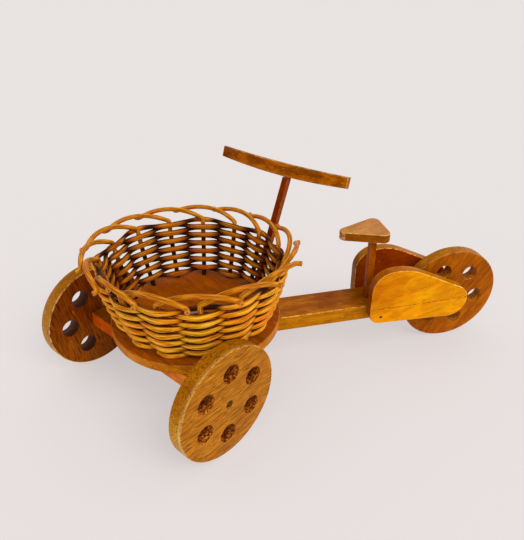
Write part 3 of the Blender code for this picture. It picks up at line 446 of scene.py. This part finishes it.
woodLooks["farWheel"] = {
    **woodLooks["wheel"], "Bore Colour": tint(84, 42, 20), "Fleck Colour": tint(112, 60, 30),
    "Rim Wear And Glint": 0.15}

# What every wood look has unless it says otherwise
plainLook = {
    "Bore Colour": tint(104, 52, 8), "Fleck Colour": tint(214, 150, 46), "Top Tint": tone(1.0, 1.0, 1.0),
    "Bore Shade Tint": tone(0.40, 0.26, 0.12), "Side Flecks And Glints": 0.0, "Rim Wear And Glint": 0.0,
}


def patch(place, radius, patchTone, sidesOnly=0.0):
    return {"Place": place, "Radius": radius, "Tint": tone(*patchTone), "Sides Only": sidesOnly}


# Where single boards are darker or paler, counted from the board's own middle in metres: back, right
# and up for the front's boards, and east, north and up for the others. Each patch has its radius and
# its tone, and some leave the board's two faces as they are. Most of them paint light and shade, as
# noted at each board.
boardPatches = {
    # Painted shadow on the rail's top towards the post and cheeks
    "rail": [patch((0.0767, 0, 0.0143), 0.030, (0.55, 0.48, 0.5)),
             patch((0.0397, 0.006, 0.0193), 0.034, (0.50, 0.28, 0.15))],
    # Painted light and shade across the near cheek's face
    "cheek_left": [patch((0.035, 0, -0.01), 0.050, (1.08, 1.22, 1.5)),
                   patch((-0.045, 0, 0.012), 0.036, (0.82, 0.68, 0.3)),
                   patch((0.005, 0, 0), 0.030, (1.08, 1.18, 1.0))],
    # Painted shade on the far cheek inside the fork
    "cheek_right": [patch((-0.055, 0, 0.01), 0.034, (0.78, 1.0, 0.2)),
                    patch((0.03, 0, 0.02), 0.028, (0.78, 1.0, 0.2))],
    # Paler towards the beam's near end
    "front_axle_beam": [patch((0, -0.055, 0), 0.045, (1.52, 2.9, 2.0))],
    # Painted shadow of leaves on the handlebar's far end
    "handlebar": [patch((0, 0.066, 0), 0.024, (0.35, 0.28, 0.4))],
    # Wear and painted glint on the near wheel's tread, and darker towards the bottom
    "wheel_front_left": [patch((-0.050, 0, -0.006), 0.038, (1.8, 2.5, 5.0), sidesOnly=1.0),
                         patch((0, 0, -0.05), 0.040, (0.88, 0.84, 1.3))],
    # Painted light and shade on the far wheel's face, and a painted sheen on its tread
    "wheel_front_right": [patch((0.035, 0, 0.03), 0.060, (1.55, 1.6, 0.15)),
                          patch((-0.03, 0, -0.03), 0.050, (1.4, 1.7, 0.6)),
                          patch((-0.045, 0, 0.01), 0.050, (1.35, 1.65, 6.5), sidesOnly=1.0)],
    # Darker towards the bottom
    "wheel_rear": [patch((-0.02, 0, -0.04), 0.030, (0.84, 0.76, 0.4))],
}

# Where a cheek and the seat are glued up of two boards: a place on the joint, the way across it and
# half of the line's width
boardJoints = {
    "cheek_left": {
        "Place": rearAxle + Vector((-0.05, 0, 0.0099)), "Across": Vector((-0.0094, 0, 1)).normalized(),
        "Width": 0.00035, "Line Tint": tone(0.45, 0.30, 0.3), "Side Tint": tone(0.94, 0.92, 1.0)},
    "seat": {
        "Place": rearAxle + Vector((-0.1047, -0.001, 0)), "Across": Vector((-1, 0.207, 0)).normalized(),
        "Width": 0.0002, "Line Tint": tone(0.8, 0.7, 0.6), "Side Tint": tone(0.98, 1.06, 0.72)},
}


# Object coordinates are turned so that X runs along the grain and Z out of the board's face
def woodMaterial(name, node, look, along, outward, axes):
    material, tree = startMaterial(name)
    outward = outward.normalized()
    along = (along - along.dot(outward) * outward).normalized()
    turn = Matrix((along, outward.cross(along), outward))
    coordinates = tree.nodes.new("ShaderNodeTexCoord").outputs
    place = coordinates["Object"]
    mapping = addNode(tree, "ShaderNodeMapping", {
        "Vector": place, "Rotation": turn.to_euler(), "Location": -(turn @ middleOf(node))})
    facing = vectorMath(tree, "DOT_PRODUCT", coordinates["Normal"], outward, "Value")
    upward = vectorMath(tree, "DOT_PRODUCT", coordinates["Normal"], up, "Value")
    colour = skinMaterial(material, "wood", woodGroup, {
        **plainLook, **woodLooks[look], "Vector": mapping.outputs[0], "Facing": facing, "Up": upward,
        "Edge": attribute(tree, "edge"), "Bore": attribute(tree, "bore")})
    for spot in boardPatches.get(node, []):
        spot = {**spot, "Place": middleOf(node) + axes @ Vector(spot["Place"])}
        inputs = {**spot, "Colour": colour, "Vector": place, "Facing": facing}
        colour = addNode(tree, "ShaderNodeGroup", inputs, node_tree=patchGroup).outputs["Colour"]
    if node in boardJoints:
        inputs = {**boardJoints[node], "Colour": colour, "Vector": place, "Facing": facing}
        colour = addNode(tree, "ShaderNodeGroup", inputs, node_tree=splitGroup).outputs["Colour"]
    tree.links.new(colour, tree.nodes["Principled BSDF"].inputs["Base Color"])
    return material


caneLooks = {
    "weave": {
        "Light": tint(255, 190, 36), "Dark": tint(255, 146, 14), "Streak Colour": tint(150, 72, 5),
        "Highlight Colour": tint(255, 212, 92), "Shade And Pith Colour": tint(46, 20, 5), "Cut Colour": tint(206, 138, 62),
        "Streaks": 0.8},
    "stake": {
        "Light": tint(220, 147, 11), "Dark": tint(199, 104, 2), "Streak Colour": tint(110, 52, 8),
        "Highlight Colour": tint(244, 182, 84), "Shade And Pith Colour": tint(52, 22, 4), "Cut Colour": tint(200, 132, 56),
        "Streaks": 0.8},
}


def caneMaterial(name, look):
    material, tree = startMaterial(name)
    skinMaterial(material, "cane", caneGroup, {
        **caneLooks[look], "Vector": addNode(tree, "ShaderNodeUVMap", uv_map="strand").outputs[0],
        "Place": tree.nodes.new("ShaderNodeTexCoord").outputs["Object"],
        "Painted Shade": attribute(tree, "paintedShade"), "Core": attribute(tree, "core")})
    return material


def steelMaterial(name, clean, tarnish):
    material, tree = startMaterial(name)
    place = tree.nodes.new("ShaderNodeTexCoord").outputs["Object"]
    skinMaterial(material, "steel", steelGroup, {"Vector": place, "Clean": clean, "Tarnish": tarnish})
    return material


# The boards: the body each one rides on, its slot, its material's name and look, the way its grain
# runs and the way its face looks, and for a wheel the way its holes run
amber, brown, tan = "amber_wood", "brown_wood", "tan_wood"
south = -north
frontAxes = Matrix((frontBack, frontRight, up)).transposed()
cheekGrain = Vector((1, 0, 0.22))
boards = {
    "rail": {"body": "chassis", "slot": amber, "wood": ("railWood", "rail", east, south)},
    "cheek_left": {
        "body": "chassis", "slot": amber, "wood": ("cheek_leftWood", "cheek", cheekGrain, south)},
    "cheek_right": {
        "body": "chassis", "slot": amber, "wood": ("cheek_rightWood", "cheek", cheekGrain, north)},
    "seat": {"body": "chassis", "slot": tan, "wood": ("seatWood", "seat", Vector((1, 0.6, 0)), up)},
    "seat_post": {"body": "chassis", "slot": amber, "wood": ("postWood", "post", up, south)},
    "platform": {"body": "front", "slot": amber, "wood": ("platformWood", "platform", frontRight, up)},
    "front_axle_beam": {
        "body": "front", "slot": amber, "wood": ("beamWood", "beam", frontRight, -frontBack)},
    "handlebar_stem": {"body": "front", "slot": amber, "wood": ("stemWood", "post", up, frontBack)},
    "handlebar": {"body": "front", "slot": amber, "wood": ("barWood", "handlebar", frontRight, frontBack)},
    "wheel_front_left": {
        "body": "front_left_wheel", "slot": brown, "bore": frontRight,
        "wood": ("wheel_front_leftWood", "wheel", frontBack, -frontRight)},
    "rear_spacer_left": {
        "body": "chassis", "slot": brown, "wood": ("rear_spacer_leftWood", "wheel", north, east)},
    "wheel_front_right": {
        "body": "front_right_wheel", "slot": brown, "bore": frontRight,
        "wood": ("wheel_front_rightWood", "farWheel", up - 0.2 * frontBack, frontRight)},
    "rear_spacer_right": {
        "body": "chassis", "slot": brown, "wood": ("rear_spacer_rightWood", "wheel", north, east)},
    "wheel_rear": {
        "body": "rear_wheel", "slot": brown, "bore": north,
        "wood": ("wheelRearWood", "rearWheel", Vector((0.55, 0, 0.84)), south)},
}
# The rounding's width and segments, and what counts as a chamfer, a sharp edge, a flat joint between
# triangles and a bore's wall. Lengths are in metres and angles in degrees.
dressing = {
    "widestChamfer": 0.0013, "roundness": 0.00025, "roundSegments": 2, "sharpAngle": 30.0,
    "flatAngle": 0.5, "mergeDistance": 0.00001, "boreReach": 0.042, "alongBore": 0.5,
}


# A board is a copy of its solid with its sanded chamfers marked as edge, which takes wear and painted
# highlight, the walls of its bores marked, and its corners rounded. A chamfer is a face whose width,
# twice its area over its perimeter, is small.
def dressBoard(node, body, material, bore):
    bm = bmesh.new()
    bm.from_mesh(nodes[node].data)
    bmesh.ops.remove_doubles(bm, verts=bm.verts, dist=dressing["mergeDistance"])
    flat = math.radians(dressing["flatAngle"])
    bmesh.ops.dissolve_limit(bm, angle_limit=flat, verts=bm.verts, edges=bm.edges)
    edgeMark = bm.faces.layers.float.new("edge")
    boreMark = bm.faces.layers.float.new("bore")
    middle = middleOf(node)
    for face in bm.faces:
        face[edgeMark] = float(2 * face.calc_area() / face.calc_perimeter() < dressing["widestChamfer"])
        if bore:
            away = face.calc_center_median() - middle
            fromAxle = (away - away.dot(bore) * bore).length
            alongBore = abs(face.normal.dot(bore)) < dressing["alongBore"]
            face[boreMark] = float(fromAxle < dressing["boreReach"] and alongBore)
    sharpest = math.radians(dressing["sharpAngle"])
    sharp = [edge for edge in bm.edges if edge.calc_face_angle(0.0) > sharpest]
    bmesh.ops.bevel(bm, geom=sharp, offset=dressing["roundness"], segments=dressing["roundSegments"],
                    profile=0.5, affect="EDGES", clamp_overlap=True)
    mesh = bpy.data.meshes.new(node + "_board")
    bm.to_mesh(mesh)
    bm.free()
    mesh.shade_smooth()
    mesh.materials.clear()
    mesh.materials.append(material)
    piece = bpy.data.objects.new(node + "_board", mesh)
    bpy.context.scene.collection.objects.link(piece)
    piece.modifiers.new("softCorners", "WEIGHTED_NORMAL").keep_sharp = True
    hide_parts(node)
    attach(piece, body)


for node, board in boards.items():
    name, look, grain, outward = board["wood"]
    axes = frontAxes if board["body"].startswith("front") else Matrix.Identity(3)
    material = woodMaterial(name, node, look, grain, outward, axes)
    dressBoard(node, board["body"], material, board.get("bore"))
print("boards dressed:", len(boards))


# Basket. The wall leans out from its foot, bows a little, is tilted toward one side and is pressed
# in beside the stem: the same shape as the solid it stands in for. Lengths are in metres, and angles
# in degrees from the front's middle line.
basket = {
    "footRadius": 0.0695, "topRadius": 0.0855, "bow": 0.0015, "thickness": 0.012, "height": 0.0572,
    "bottom": 0.0668, "lift": 0.003, "highSide": -145.2, "dent": 0.0035, "dentWidth": 22.0,
    "stemSide": -7.7, "stakes": 15, "stakeOffset": 16.5,
}
weave = {
    "rowRise": 0.00415, "firstRow": 0.0022, "strandHeight": 0.0056, "strandDepth": 0.0040,
    "swing": 0.00395, "squeeze": 0.25, "startAngle": 200.0, "turns": 12.93, "samplesPerStake": 22,
    "sides": 14, "unevenness": 0.0003, "swelling": 0.08, "spliceTurn": 0.90, "spliceGap": 0.045,
    "wanderRadius": 0.072, "pathSeed": 1.7, "swellSeed": 4.2,
}
stake = {
    "radius": 0.00215, "seat": 0.005, "wallPoints": 14, "archPoints": 46, "sides": 14, "unevenness": 0.03,
    "archHeight": 0.011, "archLift": 0.003, "archSpread": 0.0120, "archBow": 0.003, "archRoundness": 0.1,
    "reach": 2, "archEnd": 0.81, "tipReach": 0.0045, "tipPoints": 10, "tipTwist": 1.2, "seedStep": 3.1,
    "shadeTop": 0.85, "shadeFade": 0.012,
}
# How much painted shade a strand of the weave gets, by how far it stands proud of the wall's middle:
# tucked where it passes inside a stake, inner on the basket's inside, and pressed where it lies on the
# next row
weaveShade = {
    "tuckedStart": 0.0005, "tuckedFade": 0.0022, "innerStart": -0.0016, "innerFade": 0.0030,
    "innerLeast": 0.45, "pressedStart": 0.75, "pressedFade": 0.24, "pressed": 0.9,
}
# A strand's closing rings, from the end inwards: their size and how far they stand past the path's
# end, as shares of its depth
strandEnds = {"size": np.array([0.02, 0.40, 0.80, 0.95]), "past": np.array([0.10, 0.09, 0.07, 0.03])}


def highness(angle):
    return np.cos(angle - math.radians(basket["highSide"]))


# The dent fades as a bell with the angle from the stem's side
def dent(angle):
    beside = (np.degrees(angle) - basket["stemSide"] + 180) % 360 - 180
    return basket["dent"] * np.exp(-(beside / basket["dentWidth"]) ** 2)


# Middle of the wall: foot radius plus the lean and a parabola of bow, less the dent, by share of height
def wallRadius(angle, share):
    lean = (basket["topRadius"] - basket["footRadius"]) * share
    bow = basket["bow"] * 4 * share * (1 - share)
    return basket["footRadius"] + lean + bow - basket["thickness"] / 2 - share * dent(angle)


def wallHeight(angle, share):
    return basket["bottom"] + (basket["height"] + basket["lift"] * highness(angle)) * share


# Angles are counted in the front's own frame, and turned with it into the world
def outwardAt(angle):
    turned = angle + frontTurn
    return np.stack([np.cos(turned), np.sin(turned), np.zeros_like(turned)], axis=-1)


def polar(radius, angle, height):
    turned = angle + frontTurn
    return np.stack([pivot.x + radius * np.cos(turned), pivot.y + radius * np.sin(turned), height], axis=-1)


# A path's row of each ring of its strand: the closing rings repeat the first and the last
def ringRows(count):
    caps = len(strandEnds["size"])
    return np.r_[np.zeros(caps, int), np.arange(count), np.full(caps, count - 1)]


# Once around a strand, from its inner side
def ringAngles(sides):
    return math.pi + 2 * math.pi * np.arange(sides) / sides


def unit(vectors):
    return vectors / np.linalg.norm(vectors, axis=1, keepdims=True)


def distanceAlong(path):
    return np.r_[0.0, np.cumsum(np.linalg.norm(np.diff(path, axis=0), axis=1))]


# A strand: ring points are path + depth cos(v) outward + height sin(v) across, with v from 0 to a turn,
# and both ends are closed by rings that shrink to the middle. Its UV map is in metres, and "core" is 0
# on the skin and rises to 1 in the middle of a cut end.
def strandMesh(name, path, outward, depth, height, sides):
    tangent = unit(np.gradient(path, axis=0))
    outward = unit(outward - tangent * np.sum(outward * tangent, axis=1, keepdims=True))
    across = np.cross(tangent, outward)
    order = ringRows(len(path))
    size = np.r_[strandEnds["size"], np.ones(len(path)), strandEnds["size"][::-1]]
    past = strandEnds["past"] * depth.mean()
    shift = np.r_[-past, np.zeros(len(path)), past[::-1]]
    middle = path[order] + tangent[order] * shift[:, None]
    turn = ringAngles(sides)[None, :, None]
    ring = (np.cos(turn) * (depth[order] * size)[:, None, None] * outward[order][:, None, :]
            + np.sin(turn) * (height[order] * size)[:, None, None] * across[order][:, None, :])
    points = (middle[:, None, :] + ring).reshape(-1, 3)
    rows = len(order)
    i, j = np.meshgrid(np.arange(rows - 1), np.arange(sides), indexing="ij")
    here, beside = i * sides, (j + 1) % sides
    quads = np.stack([here + j, here + beside, here + sides + beside, here + sides + j], -1).reshape(-1, 4)
    ends = [list(range(sides))[::-1], list(range((rows - 1) * sides, rows * sides))]
    mesh = bpy.data.meshes.new(name)
    mesh.from_pydata(points.tolist(), [], quads.tolist() + ends)
    length = distanceAlong(middle)
    around = 2 * math.pi * height.mean() / sides
    u = np.stack([length[i], length[i], length[i + 1], length[i + 1]], -1)
    v = np.stack([j, j + 1, j + 1, j], -1) * around
    uv = np.vstack([np.stack([u, v], -1).reshape(-1, 2), np.zeros((2 * sides, 2))])
    mesh.uv_layers.new(name="strand").data.foreach_set("uv", uv.ravel())
    pointValues(mesh, "core", np.repeat(1 - size, sides))
    mesh.shade_smooth()
    return mesh, points


def pointValues(mesh, name, values):
    mesh.attributes.new(name, "FLOAT", "POINT").data.foreach_set("value", np.clip(values, 0.0, 1.0))


def placeStrand(mesh, material, node):
    mesh.materials.append(material)
    piece = bpy.data.objects.new(mesh.name, mesh)
    bpy.context.scene.collection.objects.link(piece)
    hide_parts(node)
    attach(piece, "front")


# Slow uneven wandering along a strand, by distance in metres: three sines that don't repeat together
def wander(distance, seed):
    slow = np.sin(distance * 61 + seed)
    middling = np.sin(distance * 173 + 2.1 * seed)
    quick = np.sin(distance * 389 + 0.7 * seed)
    return (slow + middling + quick) / 3


# From 0 at the start to 1 past the fade
def fadeIn(values, start, fade):
    return np.clip((values - start) / fade, 0.0, 1.0)


# Painted shade on the weave, where a strand passes inside a stake, where it lies on the next row and on the
# basket's inside
def paintedShadeOfWeave(points, angle, share):
    rows = ringRows(len(angle))
    middle = np.repeat(wallRadius(angle, share)[rows], weave["sides"])
    proud = np.hypot(points[:, 0] - pivot.x, points[:, 1] - pivot.y) - middle
    flatness = np.abs(np.sin(np.tile(ringAngles(weave["sides"]), len(rows))))
    tucked = 1 - fadeIn(proud, weaveShade["tuckedStart"], weaveShade["tuckedFade"])
    deepInside = fadeIn(-proud, -weaveShade["innerStart"], weaveShade["innerFade"])
    inner = 1 - deepInside * (1 - weaveShade["innerLeast"])
    pressed = fadeIn(flatness, weaveShade["pressedStart"], weaveShade["pressedFade"])
    paintedShade = np.where(proud < weaveShade["innerStart"], inner, tucked)
    return np.maximum(paintedShade, weaveShade["pressed"] * pressed)


# The weaver climbs the wall in one spiral and swings outside one stake and inside the next: its radius
# is the wall's middle plus swing times a cosine with half a wave from stake to stake. It is squeezed
# where it crosses from one side to the other, and it is in two pieces that part at the splice.
def makeWeave():
    turns, stakes = weave["turns"], basket["stakes"]
    whole = np.linspace(0.0, turns * 2 * math.pi, int(turns * stakes * weave["samplesPerStake"]))
    splice = weave["spliceTurn"] * 2 * math.pi
    gap = weave["spliceGap"] * 2 * math.pi
    material = caneMaterial("weaveCane", "weave")
    for part, turn in enumerate((whole[whole < splice], whole[whole > splice + gap])):
        angle = math.radians(weave["startAngle"]) + turn
        share = (weave["firstRow"] + weave["rowRise"] * turn / (2 * math.pi)) / basket["height"]
        phase = (angle - math.radians(basket["stakeOffset"])) * stakes / 2
        radius = wallRadius(angle, share) + weave["swing"] * np.cos(phase)
        distance = turn * weave["wanderRadius"]
        rise = weave["unevenness"] * wander(distance, weave["pathSeed"])
        path = polar(radius, angle, wallHeight(angle, share) + rise)
        swell = 1 + weave["swelling"] * wander(distance, weave["swellSeed"])
        depth = weave["strandDepth"] / 2 * swell
        height = weave["strandHeight"] / 2 * swell * (1 - weave["squeeze"] * np.sin(phase) ** 2)
        name = "basket_weave_%d" % (part + 1)
        mesh, points = strandMesh(name, path, outwardAt(angle), depth, height, weave["sides"])
        pointValues(mesh, "paintedShade", paintedShadeOfWeave(points, angle, share))
        placeStrand(mesh, material, "basket_wall")
    print("weave made")


# A stake's cut end: a parabola from its arch's direction to straight outwards
def tipPath(arch, turn):
    heading = arch[-1] - arch[-2]
    corner = arch[-1] + heading / np.linalg.norm(heading) * stake["tipReach"]
    tip = corner + outwardAt(np.array(turn)) * stake["tipReach"]
    share = np.linspace(0.0, 1.0, stake["tipPoints"] + 1)[1:, None]
    return (1 - share) ** 2 * arch[-1] + 2 * share * (1 - share) * corner + share ** 2 * tip


# A stake stands in the wall's middle, then arches over: round by two stakes while it moves out by
# the spread, and up and out by half a sine, until it turns outwards
def makeStakes():
    material = caneMaterial("stakeCane", "stake")
    pitch = 2 * math.pi / basket["stakes"]
    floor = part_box("platform")[1].z
    shadeHeight = basket["bottom"] + stake["shadeTop"] * basket["height"]
    for k in range(basket["stakes"]):
        angle = math.radians(basket["stakeOffset"]) + k * pitch
        top = wallHeight(angle, 1.0)
        heights = np.linspace(floor - stake["seat"], top, stake["wallPoints"])
        share = (heights - floor) / (top - floor)
        wall = polar(wallRadius(angle, share), np.full_like(heights, angle), heights)
        step = np.linspace(0.0, stake["archEnd"], stake["archPoints"] + 1)[1:]
        along = step - stake["archRoundness"] * np.sin(2 * math.pi * step) / (2 * math.pi)
        turn = angle + stake["reach"] * pitch * along
        rise = np.sin(math.pi * step)
        radius = wallRadius(turn, 1.0) + stake["archSpread"] * along + stake["archBow"] * rise
        lift = (stake["archHeight"] + stake["archLift"] * highness(turn)) * rise
        arch = polar(radius, turn, wallHeight(turn, 1.0) + lift)
        tip = tipPath(arch, turn[-1])
        path = np.vstack([wall, arch, tip])
        facing = outwardAt(np.r_[np.full(len(wall), angle), turn, np.full(len(tip), turn[-1])])
        facing[-len(tip):, 2] = np.linspace(0.0, stake["tipTwist"], len(tip))   # the tip's section turns up
        uneven = stake["unevenness"] * wander(distanceAlong(path), stake["seedStep"] * k)
        thick = stake["radius"] * (1 + uneven)
        name = "stake_%02d" % (k + 1)
        mesh, points = strandMesh(name + "_cane", path, facing, thick, thick, stake["sides"])
        # Painted shade on the stake lower down, where it stands inside the weave
        pointValues(mesh, "paintedShade", (shadeHeight - points[:, 2]) / stake["shadeFade"])
        placeStrand(mesh, material, name)
    print("stakes:", basket["stakes"])


makeWeave()
makeStakes()

# Small steel pieces keep their solids
steelNodes = {
    "darkSteel": (
        tint(124, 96, 58), tint(64, 46, 28),
        ("cheek_nail_left", "cheek_nail_right", "rear_axle", "axle_pin_left", "axle_pin_right", "stem_nail",
         "bar_nail")),
    "zincSteel": (
        tint(186, 182, 172), tint(120, 112, 98),
        ("pivot_bolt", "pivot_washer", "pivot_nut", "beam_screw_left", "beam_screw_right",
         "wheel_washer_left", "wheel_washer_right")),
}
for steel, (clean, tarnish, names) in steelNodes.items():
    material = steelMaterial(steel, clean, tarnish)
    for name in names:
        nodes[name].data.materials.clear()
        nodes[name].data.materials.append(material)
print("steel pieces:", sum(len(row[2]) for row in steelNodes.values()))

# Camera, from the outlines in the photograph: its place is set off from the rear wheel's middle, and
# its lens is the focal length in pixels over the picture's height, which is its longer side
camera = {
    "offset": (-0.28537, -0.42340), "height": 0.36663, "forward": (0.1857, 0.8326, -0.5218),
    "upward": (0.1201, 0.5078, 0.8530), "focalPixels": 563.675, "imageHeight": 540, "sensor": 36.0,
    "nearest": 0.01,
}


def makeCamera():
    data = bpy.data.cameras.new("camera")
    data.sensor_width = camera["sensor"]
    data.lens = camera["focalPixels"] / camera["imageHeight"] * camera["sensor"]
    data.clip_start = camera["nearest"]
    holder = bpy.data.objects.new("camera", data)
    bpy.context.scene.collection.objects.link(holder)
    forward = Vector(camera["forward"]).normalized()
    right = forward.cross(Vector(camera["upward"])).normalized()
    turn = Matrix((right, right.cross(forward), -forward)).transposed().to_4x4()
    place = Vector((rearAxle.x + camera["offset"][0], rearAxle.y + camera["offset"][1], camera["height"]))
    holder.matrix_world = Matrix.Translation(place) @ turn
    bpy.context.scene.camera = holder


# Floor, sky and lamp. The floor glows a little, so that it is as pale as the paper in the photograph.
studio = {
    "floorSize": 12.0, "backColour": tint(235, 231, 230), "sky": 0.85, "skySeen": 1.0, "key": 1.3,
    "keySoftness": 35.0, "keyFrom": (0.45, -0.75, 0.85),
}
paperFloor = {
    "Base Color": (0.33, 0.31, 0.305, 1.0), "Roughness": 0.9, "Specular IOR Level": 0.0,
    "Emission Color": (0.482, 0.464, 0.462, 1.0), "Emission Strength": 1.0,
}


def makeFloor():
    half = studio["floorSize"] / 2
    corners = [(-half, -half, 0), (half, -half, 0), (half, half, 0), (-half, half, 0)]
    mesh = bpy.data.meshes.new("floor")
    mesh.from_pydata(corners, [], [(0, 1, 2, 3)])
    material, tree = startMaterial("paperFloor")
    for socket, value in paperFloor.items():
        tree.nodes["Principled BSDF"].inputs[socket].default_value = value
    mesh.materials.append(material)
    floor = bpy.data.objects.new("floor", mesh)
    bpy.context.scene.collection.objects.link(floor)


# The sky is a little brighter where the camera or a gloss sees it than as a light
def makeSky():
    world = bpy.data.worlds.new("studioSky")
    bpy.context.scene.world = world
    world.use_nodes = True
    tree = world.node_tree
    rays = tree.nodes.new("ShaderNodeLightPath").outputs
    seen = sums(tree, "ADD", rays["Is Camera Ray"], rays["Is Glossy Ray"])
    strength = ramp(tree, seen, 0.0, 1.0, studio["sky"], studio["skySeen"])
    tree.links.new(strength, tree.nodes["Background"].inputs["Strength"])
    tree.nodes["Background"].inputs["Color"].default_value = studio["backColour"]


def makeLamp():
    sun = bpy.data.lights.new("keyLamp", "SUN")
    sun.energy = studio["key"]
    sun.angle = math.radians(studio["keySoftness"])
    lamp = bpy.data.objects.new("keyLamp", sun)
    lamp.rotation_euler = Vector(studio["keyFrom"]).to_track_quat("Z", "Y").to_euler()
    bpy.context.scene.collection.objects.link(lamp)


makeCamera()
makeFloor()
makeSky()
makeLamp()
bpy.context.scene.view_settings.view_transform = "Standard"
print("camera and studio ready")
